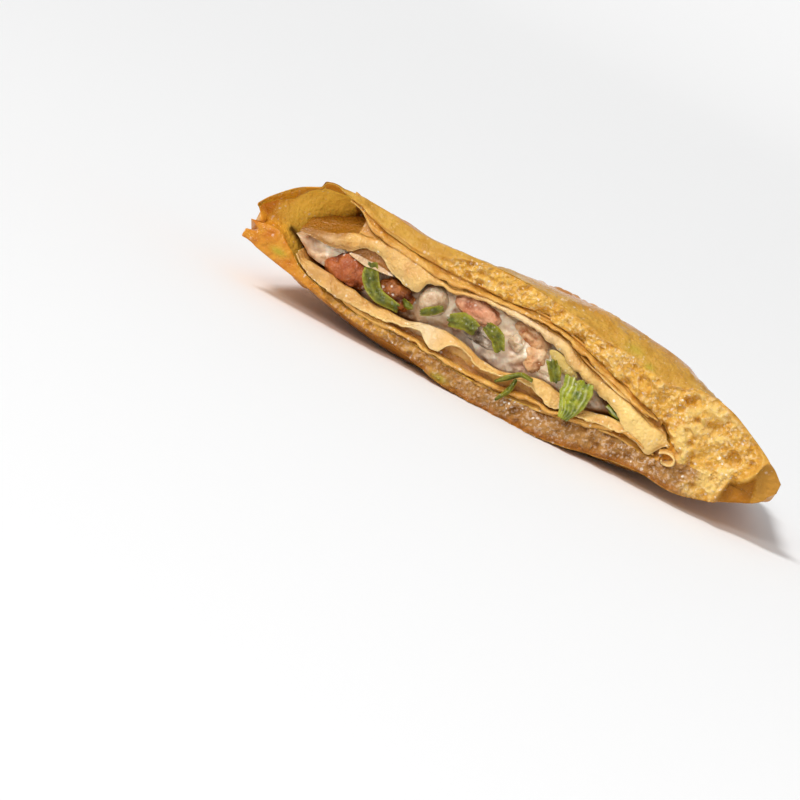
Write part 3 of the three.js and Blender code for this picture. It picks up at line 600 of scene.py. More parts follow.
def make_fried_skin_material():
    """Amber, glossy skin; on the cut a golden crust with pale bubble walls, ochre hollows and painted
    sparkle;
    below, a greyer oily band over a dark golden lip; inside, smooth golden brown, browner deeper in by
    painted shade. Painted highlights on the blisters, painted shade in the right tip's fold, and a painted
    shadow along the gap at the left end of the filling."""
    material, tree, shader, oil, broad, close, fine = mottled_material(
        "fried_skin", 0.85, (11.0, 2.4), (2.6, 0.9), (1.1, 0.6))
    # painted sparkle: pale flecks that paint highlights onto the crust and the lower band
    painted_sparkle = math(tree, "MULTIPLY", between(tree, fine["Grain"], 0.5, 0.62),
                  between(tree, broad["Patches"], 0.1, 0.9, 0.45, 1.0))

    # painted highlights: whitish patches on the blisters of the outer skin
    painted_blister_highlight = math(tree, "MULTIPLY", between(tree, fine["Grain"], 0.55, 0.66), mask(tree, "blister"))
    amber = blend(tree, broad["Patches"], (192, 102, 0), (226, 150, 10))
    pale, golden_low, layered, tip, flap = (blend(tree, close["Patches"], *pair) for pair in (
        ((188, 134, 40), (206, 156, 60)), ((190, 126, 34), (216, 162, 70)), ((212, 158, 66), (232, 188, 104)),
        ((204, 148, 54), (224, 174, 80)), ((196, 112, 10), (214, 146, 40))))
    # painted shade: golden near the cut, browner deeper inside
    inner = blend(tree, mask(tree, "deep"), (255, 206, 82), (234, 170, 50))
    crust = paint(tree, blend(tree, close["Patches"], (206, 140, 28), (230, 176, 70)),
                  (fine["Patches"], 0.5, (236, 190, 96)), ("cells", 0.7, (204, 136, 16)),
                  ("puffs", 0.6, (246, 212, 128)), (painted_sparkle, 0.55, (255, 232, 186)))
    low = paint(tree, blend(tree, close["Patches"], (156, 104, 42), (186, 136, 72)),
                ("golden", 1, golden_low), ("cells", 0.5, (146, 88, 20)), (painted_sparkle, 0.5, (240, 214, 190)),
                ("lip", 1, (158, 92, 10)))
    cut = paint(tree, crust, ("low", 1, low), ("recess", 0.6, (210, 146, 26)))
    # the fold coat is painted shade in the right tip's fold
    # the slit_shadow coat is a painted shadow along the gap left of the filling
    colour = paint(tree, blend(tree, broad["Patches"], (200, 124, 14), (212, 150, 40)),
                   (close["Patches"], 0.4, (186, 106, 10)), ("blister", 0.5, (234, 184, 84)),
                   (painted_blister_highlight, 0.7, (250, 226, 184)), ("back", 0.7, amber), ("pale", 1, pale), ("crust", 1, cut),
                   ("layered", 1, layered), ("tip", 1, tip), ("inner", 1, inner), ("flap", 1, flap),
                   ("fold", 0.9, (160, 98, 4)), ("amber", 1, (184, 130, 46)), ("slit_shadow", 1, (58, 24, 2)),
                   ("stain", 0.8, (168, 160, 40)))

    rough_cut = math(tree, "MULTIPLY", fine["Grain"], between(tree, mask(tree, "crust"), 0.0, 1.0, 0.3, 1.0))
    calm = between(tree, mask(tree, "back"), 0.0, 1.0, 1.0, 0.25)
    heights = [(math(tree, "MULTIPLY", height, calm), 0.5) for height in (close["Grain"], rough_cut)]
    painted_glint_share = math(tree, "MULTIPLY", between(tree, mask(tree, "crust"), 0.0, 1.0, 0.35, 0.9), calm)
    finish_surface(tree, shader, colour, oil, heights, painted_glint_share, calm, coat_roughness=0.1, coat_ior=1.4,
                   specular_ior_level=0.15, subsurface_weight=0.12, subsurface_scale=0.001,
                   subsurface_radius=(1.0, 0.6, 0.25))
    tree.links.new(mask(tree, "wet"), shader.inputs["Coat Weight"])
    return material


def dress(piece, material, slot, *nodes):
    """Gives the piece its material, lets it ride on the roll, and hides the nodes it stands for. The slot is
    not used.
    """
    piece.data.materials.append(material)
    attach(piece, "root")
    if nodes:
        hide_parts(*nodes)
    return piece


fried_skin = dress(make_fried_skin(), make_fried_skin_material(), "fried_skin", "wrapper")


# ---- Inner sheets ------------------------------------------------------------------------------------
# Four single layers of soft skin that sprang apart at the cut. Each runs in from the cut above or below
# the filling, turns over the edge and hangs a little way down it, with a wavy cut edge.

# A layer and the gap to the next where they are packed, and the height at which all of them fit.
SHEET = 0.6
GAP = 0.15
STACK = 6.5
# How far a fold stands out of the cut, and how thick a sheet looks there.
HANG_OUT = 0.7
SHEET_SKIN = 0.28
# Depths of the rows of points behind a fold, from inside to the cut.
SHEET_ROWS = (14, 11, 8.6, 6.8, 5.4, 4.2, 3.2, 2.4, 1.7, 1.2, 0.8)
# Where each layer turns over at the cut, and how far down it hangs.
FOLDS = {
    "upper_outer": smooth_line((-35.2, 20.8), (-31.6, 20.3), (-27.8, 19.7), (-20.3, 19), (-15.6, 18.5),
                               (-8.2, 18.7), (-0.6, 19.2), (5.1, 19.3), (10.9, 18.1), (16.9, 16.2),
                               (22.8, 14.3), (28.7, 12.8)),
    "upper_inner": smooth_line((-43.2, 14.6), (-37.5, 16.2), (-34, 17.8), (-31.3, 18.3), (-26.7, 18.6),
                               (-21.1, 18.1), (-13.5, 17), (-8, 18), (-0.5, 18.4), (4.2, 18.1), (9, 17.4),
                               (13.1, 15.4), (19, 13.9), (24.8, 12.6), (28.8, 11.1), (32.5, 9)),
    "lower_inner": smooth_line((-42.1, 9.5), (-34.8, 9.1), (-27.4, 8.1), (-19.1, 8), (-16.4, 8.7),
                               (-13.6, 9.4), (-8, 8.9), (-2.3, 7.5), (0.5, 7.6), (4.2, 8.8), (8, 9.4),
                               (15.7, 8.2), (23.3, 9.2), (26.2, 8.8)),
    "lower_outer": smooth_line((-33.6, 6.8), (-27.1, 6.1), (-16, 5.8), (-10.4, 4.9), (0.9, 5.1),
                               (5.5, 5.9), (12.2, 5.7), (17.7, 6.6), (25.3, 8.5), (31.2, 6.8)),
}
LIPS = {
    "upper_outer": smooth_line((-35.2, 20.4), (-31.5, 19.2), (-27.6, 18.7), (-20.2, 17.7), (-15.4, 17.5),
                               (-8, 18.1), (5.1, 18.8), (10.9, 17.6), (16.9, 15.5), (22.8, 13.6),
                               (28.7, 12.3)),
    "upper_inner": smooth_line((-43.1, 11.6), (-41, 11.4), (-38.2, 12.6), (-35.6, 14), (-33.4, 14.6),
                               (-32, 16.2), (-30.1, 16.5), (-27.3, 16), (-25.7, 14.7), (-23.5, 14.1),
                               (-21, 13.3), (-19.2, 13.4), (-18.2, 15.7), (-15.3, 16.4), (-11.7, 17),
                               (-7, 17.5), (2.4, 17.2), (6.3, 16.1), (9.3, 15.2), (13.2, 13.6),
                               (16.2, 12.7), (19.1, 11.7), (22.2, 10.4), (24.3, 8.8), (27.3, 7.3),
                               (30.3, 6.5), (32.6, 7.1)),
    "lower_inner": smooth_line((-42, 7.9), (-34.5, 6.6), (-27.2, 6.1), (-18.9, 6.8), (-17.2, 7.6),
                               (-15.2, 7.2), (-12.8, 5.9), (-11.2, 5.6), (-10.2, 7.1), (-8.9, 8.1),
                               (-6, 7.7), (-4, 6.6), (2.5, 7.3), (5.2, 7.8), (9.1, 6.6), (11.5, 6.3),
                               (15.8, 7), (23.4, 7.6), (26.3, 8)),
    "lower_outer": smooth_line((-33.6, 6.4), (-27, 5), (-19.7, 5.1), (-14.2, 5.5), (-1.9, 4.3),
                               (10.3, 5.4), (19.7, 6.2), (25.3, 8), (31.2, 6.6)),
}
FILLING_TOP = smooth_line((-43.3, 13.5), (-37.3, 14.7), (-30.8, 13.6), (-26.3, 14.4), (-20.5, 13.2),
                          (-18.1, 15.5), (-13.4, 15.8), (-7.1, 17.3), (-1.3, 16.4), (6.6, 14.5),
                          (15.2, 12.7), (21.1, 10.9), (22.8, 10.2))
FILLING_BOTTOM = smooth_line((-41.2, 9.8), (-34.7, 7.9), (-27.2, 6.7), (-19.8, 6.6), (-12.7, 9.5),
                             (-8.1, 10.1), (-3.2, 7.2), (5.2, 8.8), (18.6, 7.6), (22.7, 9.4))


def layer_heights(s, y, packed):
    """Underside of every layer inside. At the cut each follows its own line; with packed at 1 they lie
    against each other, and going up from the floor none comes nearer to the next than a gap."""
    x = MIDDLE + s * LENGTH / 2
    roof, floor = inside_heights(s, y)
    squeeze = np.clip((roof - floor) / STACK, 0, 1)
    thick, gap = SHEET * squeeze, GAP * squeeze
    step = thick + gap
    layers = (("lower_outer", gap, FOLDS["lower_outer"](x) - thick, floor + gap),
              ("lower_inner", step, FOLDS["lower_inner"](x) - thick, floor + gap + step),
              ("filling_bottom", step, FILLING_BOTTOM(x), floor + gap + 2 * step),
              ("filling_top", squeeze, FILLING_TOP(x), roof - gap - 2 * step),
              ("upper_inner", gap, FOLDS["upper_inner"](x) - thick, roof - 2 * step),
              ("upper_outer", step, FOLDS["upper_outer"](x) - thick, roof - step))
    heights, reached = {"thick": thick}, floor
    room = step + sum(need for _, need, _, _ in layers)
    for name, need, at_cut, inside in layers:
        room = room - need
        wanted = at_cut + (inside - at_cut) * packed
        reached = np.minimum(np.maximum(wanted, reached + need), roof - room)
        heights[name] = reached
    return heights


def hanging_sheet(layer, start, end, pocket=3.0, fade=4.0, rise=0.0, out=HANG_OUT, lean=0.5):
    """Points of one sheet: rows from inside to the cut, round the fold, and down to the cut edge. Behind
    the cut it meets its neighbour at the depth of its pocket. What hangs leans and ripples more the lower
    it gets, and at both ends of the sheet it shrinks away. Its start can rise to the skin. Also its masks."""
    x = np.linspace(start, end, int((end - start) * 5))[:, None]
    s = (x - MIDDLE) / (LENGTH / 2)
    inner_y = np.minimum(np.array(SHEET_ROWS)[None, :], inside_depth(s) * 0.8)
    depth = pocket + (min(pocket, 2.2) - pocket) * smooth(-38, -30, x)
    levels = layer_heights(s, inner_y, smooth(0.6, depth, inner_y))
    cut = layer_heights(s, 0 * s, 0 * s)
    shrink = smooth(0, fade, x - start) * smooth(0, 3, end - x)
    fold = cut[layer] + cut["thick"] + 0.22 * grain(place(x, 0 * x), 2.3, 60)
    lip = np.minimum(LIPS[layer](x), cut[layer]) + 0.25 * grain(place(x, 0 * x), 1.3, 61) \
        + 0.15 * grain(place(x, 0 * x), 0.5, 62)
    lip = fold - np.maximum(fold - lip, 0.25) * (0.25 + 0.75 * shrink)
    front = -0.2 * np.sin(0.55 * x) - 0.1 * np.sin(1.3 * x + 1)
    front = front - out * smooth(-36, -24, x) ** 0.5 * (0.55 + 0.45 * grain(place(x, 0 * x), 6, 59))
    front = front + (0.6 - front) * (1 - shrink)
    turn = np.linspace(0, np.pi / 2, 6)[None, :]
    round_z = np.minimum(0.55, (fold - lip) * 0.5)
    arc_y = 0.7 + (front - 0.7) * np.sin(turn)
    arc_z = fold - round_z * (1 - np.cos(turn))
    down = np.linspace(0, 1, 22)[None, 1:]
    hang_z = fold - round_z + (lip - fold + round_z) * down
    long_hang = np.clip((fold - lip) / 3, 0, 1)
    at = place(np.broadcast_to(x, hang_z.shape), hang_z)
    ripple = 0.6 * grain(at * (1, 1, 0.35), 3.1, 63) + 0.4 * grain(at * (1, 1, 0.4), 1.3, 64)
    belly = 0.3 * np.sin(np.pi * down) * long_hang
    hang_y = np.minimum(front - belly + ripple * down * (0.4 + 0.6 * long_hang) + lean * down ** 2, 0.4)
    z = np.concatenate([levels[layer] + levels["thick"], arc_z, hang_z], axis=1)
    y = np.concatenate([np.broadcast_to(inner_y, levels[layer].shape), arc_y, hang_y], axis=1)
    z = z + rise * (1 - smooth(0, 7, x - start)) * (1 - smooth(0.5, 4, y))
    points = np.stack([np.broadcast_to(x, z.shape) - MIDDLE, y + CUT_PLANE, z], axis=-1)
    points[..., 0] *= 1 - CORNER_TAPER * (np.maximum(y, 0) / DEPTH) ** 1.4
    # painted shade: the sheet is coloured browner the farther behind the cut it lies
    behind = smooth(0.3, 4, y)
    rim = np.concatenate([0 * levels[layer], 0 * arc_z, np.broadcast_to(down ** 5, hang_z.shape)], axis=1)
    return points, {"deep": behind, "rim": rim}


def backing_sheet(low, high, start, end, seed):
    """The stretch of a sheet that shows between two lines a little behind the cut: it sags inwards
    between them, is rippled, and gets painted shade where it sags deepest."""
    x = np.linspace(start, end, int((end - start) * 4))[:, None]
    v = np.linspace(0, 1, 14)[None, :]
    points = place(x + 0 * v, low(x) + (high(x) - low(x)) * v, 0.4 + 0.4 * v + 0.9 * np.sin(np.pi * v))
    points[..., 1] += 0.35 * grain(points * (1, 1, 0.4), 1.8, seed) + 0.3 * grain(points, 4, seed + 1)
    return points, {"deep": 0.7 * np.sin(np.pi * v) + 0 * x}


def patch_sheet(corners, rows, columns, bulge, seed):
    """A loose bit of sheet between four corners (left top, right top, left bottom, right bottom), each a
    place on the ruler, height and depth, bulging forward in the middle and rippled."""
    u, v = np.meshgrid(np.linspace(0, 1, columns), np.linspace(0, 1, rows), indexing="ij")
    top_left, top_right, low_left, low_right = (place(x, z, y) for x, z, y in corners)
    v = 0.5 + (v - 0.5) * np.maximum(np.sin(np.pi * u), 0) ** 0.6
    u, v = u[..., None], v[..., None]
    points = (top_left * (1 - u) + top_right * u) * (1 - v) + (low_left * (1 - u) + low_right * u) * v
    points[..., 1] -= (bulge * np.sin(np.pi * u) * np.sin(np.pi * v))[..., 0]
    points[..., 1] += 0.3 * grain(points * (1, 1, 0.4), 1.6, seed)
    points[..., 2] += 0.2 * grain(points * (1, 1, 0.4), 2.0, seed + 1)
    return points, {"deep": 0 * v[..., 0], "rim": v[..., 0] ** 6}


def curled_scrap(x, z, radius, turns):
    """A strip of sheet curled up on itself: a dented spiral in the face's plane that runs a little way in."""
    angle = np.linspace(0, 2 * np.pi * turns, 70)[:, None]
    depth = np.linspace(-1.2, 3, 12)[None, :]
    reach = radius * (0.35 + 0.65 * angle / angle.max()) * (1 - 0.04 * depth)
    reach = reach * (1 + 0.1 * np.sin(2 * angle + 1))
    front = depth + 0 * angle
    points = place(x + 1.15 * reach * np.cos(angle + 3.6) - 0.25 * depth,
                   z + 0.85 * reach * np.sin(angle + 3.6) + 0.35 * depth, front)
    points[..., 1] += 0.4 * np.sin(1.7 * angle) + 0.35 * grain(points, 1.1, 77)
    # painted shade: the curled strip darkens farther in
    return points, {"deep": smooth(0, 2.5, front), "rim": 1 - smooth(-1.0, -0.5, front), "white": 0.1}


def sheet_piece(name, parts, thickness):
    """One mesh of open grids of points, each with its masks, made as thick as a sheet."""
    corners, faces, masks, used = [], [], {}, 0
    names = sorted({mask for _, given in parts for mask in given})
    for points, given in parts:
        rows, columns = points.shape[:2]
        i, j = np.meshgrid(np.arange(rows - 1), np.arange(columns - 1), indexing="ij")
        first = used + i * columns + j
        quads = np.stack([first, first + columns, first + columns + 1, first + 1], axis=-1)
        faces += quads.reshape(-1, 4).tolist()
        corners.append(points.reshape(-1, 3))
        for mask in names:
            masks.setdefault(mask, []).append(np.broadcast_to(given.get(mask, 0.0), (rows, columns)).ravel())
        used += rows * columns
    masks = {mask: np.concatenate(values) for mask, values in masks.items()}
    piece = put_in_scene(name, np.concatenate(corners), faces, masks)
    shell = piece.modifiers.new("thickness", "SOLIDIFY")
    shell.thickness = thickness * MM
    shell.offset = 0
    return piece


def spot(points, x, half_width):
    """1 at that place on the ruler, fading to both sides."""
    return np.exp(-((points[..., 0] + MIDDLE - x) / half_width) ** 2)


def make_sheet_material(name, warm, light, shade):
    """Soft, moist skin, translucent cream where it is thin, browner deep inside by painted shade, and pale at
    its cut edge; the bowl coat is painted shade, and the glow coat is painted light.
    """
    material, tree, shader, oil, close, fine = mottled_material(name, 0.9, (3.4, 1.0), (1.0, 0.5))
    # the deep coat is painted shade, browning the sheet where it lies behind the cut
    colour = paint(tree, blend(tree, close["Patches"], warm, light), (fine["Patches"], 0.35, light),
                   ("white", 1, (246, 212, 166)), ("pink", 1, (216, 178, 144)), ("glow", 1, (254, 204, 120)),
                   ("green", 0.7, (190, 176, 90)), ("rim", 0.55, (246, 212, 146)), ("deep", 1, shade),
                   ("bowl", 1, (154, 98, 14)))
    heights = [(close["Grain"], 0.45), (fine["Grain"], 0.14)]
    painted_glint_share = between(tree, mask(tree, "bowl"), 0.0, 1.0, 0.8, 0.0)
    finish_surface(tree, shader, colour, oil, heights, painted_glint_share, coat_weight=0.65, coat_roughness=0.1,
                   ripple=0.5, specular_ior_level=0.3, subsurface_weight=0.35, subsurface_scale=0.0012,
                   subsurface_radius=(1.0, 0.7, 0.35))
    return material


GOLDEN_SHEET = make_sheet_material("golden_sheet", (206, 140, 46), (232, 174, 84), (164, 100, 20))
CREAM_SHEET = make_sheet_material("cream_sheet", (214, 150, 66), (240, 188, 106), (168, 104, 26))

edge_beside = patch_sheet(((12, 16.9, 0.6), (27.5, 12.6, 0.6), (12, 16.2, -0.3), (27.5, 12.2, -0.3)),
                          8, 90, 0, 71)
top_parts = [hanging_sheet("upper_outer", -37.4, 29.2, pocket=1.4, fade=12.0, rise=1.9),
             backing_sheet(FOLDS["upper_inner"], lambda x: OPENING_TOP(x) + 0.3, -33.5, 30, 65), edge_beside]
loose_sheet_top = dress(sheet_piece("loose_sheet_top", top_parts, SHEET_SKIN), GOLDEN_SHEET, "inner_sheet",
                        "sheet_upper_outer")

drape, drape_masks = hanging_sheet("upper_inner", -43.4, 33, pocket=9.0, fade=9.0)
hangs = 1 - smooth(-0.2, 0.6, drape[..., 1] - CUT_PLANE)
drape_masks["white"] = 0.1 * spot(drape, -23, 4.5) + 0.7 * spot(drape, 1, 8)
drape_masks["pink"] = 0.9 * (1 - smooth(-40, -34.5, drape[..., 0])) * hangs
# painted light: the hanging right part of the drape is painted brighter, as if lit through
drape_masks["glow"] = spot(drape, 25, 8) * hangs
# painted shade: the drape's top inside the bowl takes the bowl's shaded brown, without glints
drape_masks["bowl"] = (1 - smooth(-35, -31, drape[..., 0])) * (1 - hangs)
# the rim and the back of the pocket at the left, the back painted with shade, and the greenish veil beside
# the upright leaf
lens_rim, lens_masks = patch_sheet(
    ((-33.5, 14.7, 0.5), (-24.5, 14.3, 0.4), (-33.5, 13.7, -0.4), (-24.5, 13.4, -0.3)), 8, 60, 0.1, 73)
lens_masks["pink"] = 0.8
lens_back, lens_back_masks = patch_sheet(
    ((-35, 17.4, 0.9), (-24.5, 17, 0.9), (-35, 13.8, 0.5), (-24.5, 13.6, 0.5)), 10, 60, -0.3, 79)
lens_back_masks["deep"] = 0.95
veil, veil_masks = patch_sheet(
    ((5.8, 16.4, 0.4), (13.6, 13.6, 0.3), (7.6, 13.0, 0.5), (12.6, 11.9, 0.2)), 16, 50, 0.5, 75)
veil_masks["green"] = 0.8
drape_parts = [(drape, drape_masks), (lens_rim, lens_masks), (lens_back, lens_back_masks), (veil, veil_masks)]
draped_sheet_top = dress(sheet_piece("draped_sheet_top", drape_parts, SHEET_SKIN), CREAM_SHEET, "inner_sheet",
                         "sheet_upper_inner")

under_drape, under_masks = hanging_sheet("lower_inner", -42.2, 26.4, pocket=1.6, out=0.2, lean=-0.7)
under_masks["white"] = 0.85 * spot(under_drape, -15.5, 3.4)
# painted shade: the left end of the lower drape takes a share of the shade colour
at_left = 1 - smooth(-34, -25, under_drape[..., 0])
under_masks["deep"] = np.maximum(under_masks["deep"], 0.35 * at_left)
under_drape[..., 1] += 0.45 * at_left * grain(under_drape, 1.6, 81) * (1 - under_masks["rim"])
draped_sheet_bottom = dress(sheet_piece("draped_sheet_bottom", [(under_drape, under_masks)], SHEET_SKIN),
                            CREAM_SHEET, "inner_sheet", "sheet_lower_inner")

bottom_parts = [hanging_sheet("lower_outer", -33.6, 31.2, pocket=1.4), curled_scrap(33.4, 7.4, 1.7, 0.85),
                backing_sheet(lambda x: OPENING_BOTTOM(x) - 0.3, lambda x: FOLDS["lower_inner"](x) - 0.3,
                              -40.5, 32.5, 67)]
loose_sheet_bottom = dress(sheet_piece("loose_sheet_bottom", bottom_parts, SHEET_SKIN), GOLDEN_SHEET,
                           "inner_sheet", "sheet_lower_outer")


# ---- Minced filling ----------------------------------------------------------------------------------
# Minced pork and shrimp, steamed and fried to one soft mass that runs through the roll. At the cut it
# stands a little back, lumpy and moist, and paler and greyer from place to place.

# How far behind the cut its face stands, how far in it runs, and its rings of points.
FILLING_START = 2.3
FILLING_REACH = 24.0
FILLING_RINGS = 330


def make_filling():
    """Rings along the roll, each from the back over the underside to the cut, up the cut face and back
    along the top. The face bulges and is pushed about by lumps of three sizes."""
    s = np.linspace(-0.83, 0.43, FILLING_RINGS)[:, None]
    x = MIDDLE + s * LENGTH / 2
    across = (s + 0.2) / 0.63
    narrow = np.maximum(np.sqrt(np.clip(1 - np.abs(across) ** 8, 0, 1)), 0.15)
    run = np.linspace(0, 1, 12)[None, :] ** 1.5
    face = np.linspace(-1, 1, 46)[None, 1:-1]
    reach = np.minimum(FILLING_REACH, 0.7 * inside_depth(s))
    y = np.concatenate([FILLING_START + (reach - FILLING_START) * run[:, ::-1], FILLING_START + 0 * face * s,
                        FILLING_START + (reach - FILLING_START) * run], axis=1)
    side = np.concatenate([-1 + 0 * run, face, 1 + 0 * run], axis=1)
    levels = layer_heights(s, y, smooth(0, 2.5 + 12 * (1 - smooth(-36, -27, x)), y - FILLING_START))
    middle = (levels["filling_top"] + levels["filling_bottom"]) / 2
    half = np.maximum(levels["filling_top"] - levels["filling_bottom"], 0.2) / 2 * narrow
    z = middle + half * side
    ruler = np.broadcast_to(x, z.shape)
    at = place(ruler, z, y)
    on_face = 1 - smooth(0, 3, y - FILLING_START)
    lumps = 0.5 * grain(at, 3.1, 81) + 0.3 * grain(at, 1.5, 82) + 0.12 * grain(at, 0.7, 83)
    crumbs = dome(at, 1.3, 84, radius=0.55)
    hollow = 0.9 * np.exp(-((ruler + 24) / 6) ** 2)
    push = on_face * (0.7 * (1 - side ** 2) + lumps + 0.2 * crumbs - hollow)
    grid = np.stack([ruler - MIDDLE, y + CUT_PLANE - push, z], axis=-1)
    masks = {
        # painted shade in the hollows between the lumps
        "shaded_dips": on_face * smooth(-0.05, -0.5, lumps) * (0.3 + 0.7 * smooth(-34, -28, x)),
        "pink": np.clip(spot(grid, -41.5, 3) + 0.7 * spot(grid, 4.6, 2) + 0.6 * spot(grid, -31, 5), 0, 1),
        "grey": np.clip(spot(grid, -6, 4.5) * smooth(0.3, -0.4, side) + 0.6 * spot(grid, 2, 4), 0, 1),
        # painted shade: the paste is coloured darker farther in
        "deep": smooth(0.5, 5, y - FILLING_START),
        "shadow": np.clip(spot(grid, 20.5, 3.2) + 0.9 * spot(grid, -20.8, 3.2), 0, 1),
    }
    return tube_piece("minced_filling", grid, masks)


def make_filling_material():
    """Pale, moist paste, browner in its hollows and dark farther in by painted shade, pinkish or greyish in
    places.
    """
    material, tree, shader, oil, close, fine = mottled_material(
        "minced_filling", 0.8, (2.4, 1.1), (0.9, 0.5))
    colour = paint(tree, blend(tree, close["Patches"], (234, 196, 150), (255, 240, 212)),
                   (fine["Patches"], 0.35, (226, 176, 126)), ("pink", 0.5, (228, 178, 134)),
                   ("grey", 0.6, (240, 226, 208)), ("shaded_dips", 0.75, (146, 82, 34)),
                   ("shadow", 1, (128, 80, 34)), ("deep", 1, (150, 110, 74)))
    heights = [(close["Grain"], 0.4), (fine["Grain"], 0.15)]
    finish_surface(tree, shader, colour, oil, heights, 0.7, coat_weight=0.6, coat_roughness=0.1,
                   subsurface_weight=0.35, subsurface_scale=0.0015, subsurface_radius=(1.0, 0.5, 0.3))
    return material


minced_filling = dress(make_filling(), make_filling_material(), "paste", "filling")


# ---- Chunks of pork, fat, mushroom and shrimp -----------------------------------------------------------
# Cooked pieces that the knife left standing in the filling's face, each rounded, uneven and moist.
# Node, centre (ruler, depth, height), radii, tilt in degrees, share of relief, stretch of its fibres.
CHUNKS = (
    ("pork_left", "pork", (-32.4, 3.2, 11.2), (5.6, 4.4, 3.7), -4, 0.12, (0.6, 1, 1)),
    ("pork_brown", "pork", (-22.8, 3.4, 11.1), (4.2, 3.6, 2.8), 8, 0.14, (1, 1, 0.5)),
    ("pork_middle", "pork", (-8, 2.9, 15.2), (5.4, 3.8, 2.5), 5, 0.12, (0.6, 1, 1)),
    ("fat_pearl", "fat", (-16.2, 2.6, 13.2), (3.2, 3.8, 3.2), 0, 0.04, (1, 1, 1)),
    ("fat_white", "fat", (0.6, 2.6, 13.3), (2.1, 2.4, 1.4), 20, 0.3, (1, 1, 1)),
    ("mushroom", "mushroom", (-5.9, 3.3, 10.9), (4.3, 3.1, 1.5), 6, 0.25, (1, 1, 1)),
    ("shrimp_top", "shrimp", (2.6, 3.5, 15.2), (4.2, 3.1, 2.0), 12, 0.15, (1, 1, 1)),
    ("shrimp_side", "shrimp", (5, 3.4, 12.2), (3.1, 3.3, 3.0), 30, 0.16, (1, 1, 1)),
)


def make_chunk(name, centre, radii, tilt, relief, stretch, seed):
    """A ball of rings from pole to pole, drawn out to its radii, made uneven by noise of three sizes and
    fibrous along its stretch, then tilted in the plane of the cut."""
    theta = np.linspace(0.05, np.pi - 0.05, 60)[:, None]
    phi = np.linspace(0, 2 * np.pi, 96, endpoint=False)[None, :]
    ball = (-np.cos(theta), np.sin(theta) * np.cos(phi), np.sin(theta) * np.sin(phi))
    ball = np.stack(np.broadcast_arrays(*ball), axis=-1)
    solid = ball * radii
    fibres = solid * stretch
    bumps = grain(solid, 2.3, seed) + 0.5 * grain(fibres, 0.9, seed + 1) + 0.2 * grain(fibres, 0.4, seed + 2)
    boxy = 1 / np.maximum(np.abs(ball).max(axis=-1), 0.6) ** (0.9 * min(relief, 0.2))
    solid = solid * (boxy * (0.9 + relief * bumps))[..., None]
    angle = np.radians(tilt)
    x = solid[..., 0] * np.cos(angle) + solid[..., 2] * np.sin(angle)
    z = solid[..., 2] * np.cos(angle) - solid[..., 0] * np.sin(angle)
    grid = place(centre[0] + x, centre[2] + z, centre[1] + solid[..., 1])
    return tube_piece(name, grid, {"bumps": np.clip(0.5 + 0.6 * bumps, 0, 1)})


def make_flesh_material(name, dark, mid, light, patch, moist, soft):
    """Cooked flesh: darker in its hollows by painted shade, light on its ridges, mottled between, and wet on
    the surface.
    """
    material, tree, shader, oil, close, fine = mottled_material(name, 0.8, (patch, 0.8), (patch * 0.35, 0.5))
    shaded_dips = between(tree, mask(tree, "bumps"), 0.45, 0.05)
    colour = paint(tree, blend(tree, close["Patches"], mid, light), (fine["Patches"], 0.5, mid),
                   (shaded_dips, 1, dark), (fine["Spots"], 0.3, light))
    heights = [(close["Grain"], 0.5), (fine["Grain"], 0.2)]
    finish_surface(tree, shader, colour, oil, heights, 0.6, coat_weight=moist, coat_roughness=0.12,
                   specular_ior_level=0.3, subsurface_weight=soft, subsurface_scale=0.002,
                   subsurface_radius=(1.0, 0.4, 0.25))
    return material


# Node or kind of piece: name, three colours (the first paints shade into the hollows), size of its mottling,
# coat of moisture, translucency.
FLESH_LOOKS = {
    # browned pork: partly its own brown, partly painted shade where it sits in shadow beside the leaf
    "pork_brown": ("browned_and_shaded_pork", (96, 40, 4), (156, 80, 20), (190, 116, 50), 2.0, 0.3, 0.05),
    # pink pork: a lighter copy of the pork, partly its own pinker colour, partly painted light against the
    # shadow of the sheet above
    "pork_middle": ("pink_and_lit_pork", (160, 88, 50), (214, 138, 94), (234, 182, 144), 2.0, 0.5, 0.15),
    "pork": ("cooked_pork", (116, 44, 2), (158, 70, 10), (192, 108, 50), 2.0, 0.5, 0.12),
    "fat": ("pork_fat", (186, 150, 112), (206, 174, 136), (232, 210, 180), 2.0, 0.65, 0.4),
    "mushroom": ("mushroom", (96, 74, 54), (158, 136, 112), (216, 200, 182), 1.2, 0.4, 0.1),
    "shrimp": ("shrimp_paste", (184, 114, 62), (216, 160, 106), (242, 210, 168), 1.8, 0.5, 0.25),
}
FLESH = {kind: make_flesh_material(*look) for kind, look in FLESH_LOOKS.items()}
for number, (node, kind, centre, radii, tilt, relief, stretch) in enumerate(CHUNKS):
    chunk = make_chunk(node + "_lump", centre, radii, tilt, relief, stretch, 100 + 10 * number)
    dress(chunk, FLESH.get(node, FLESH[kind]), kind, node)


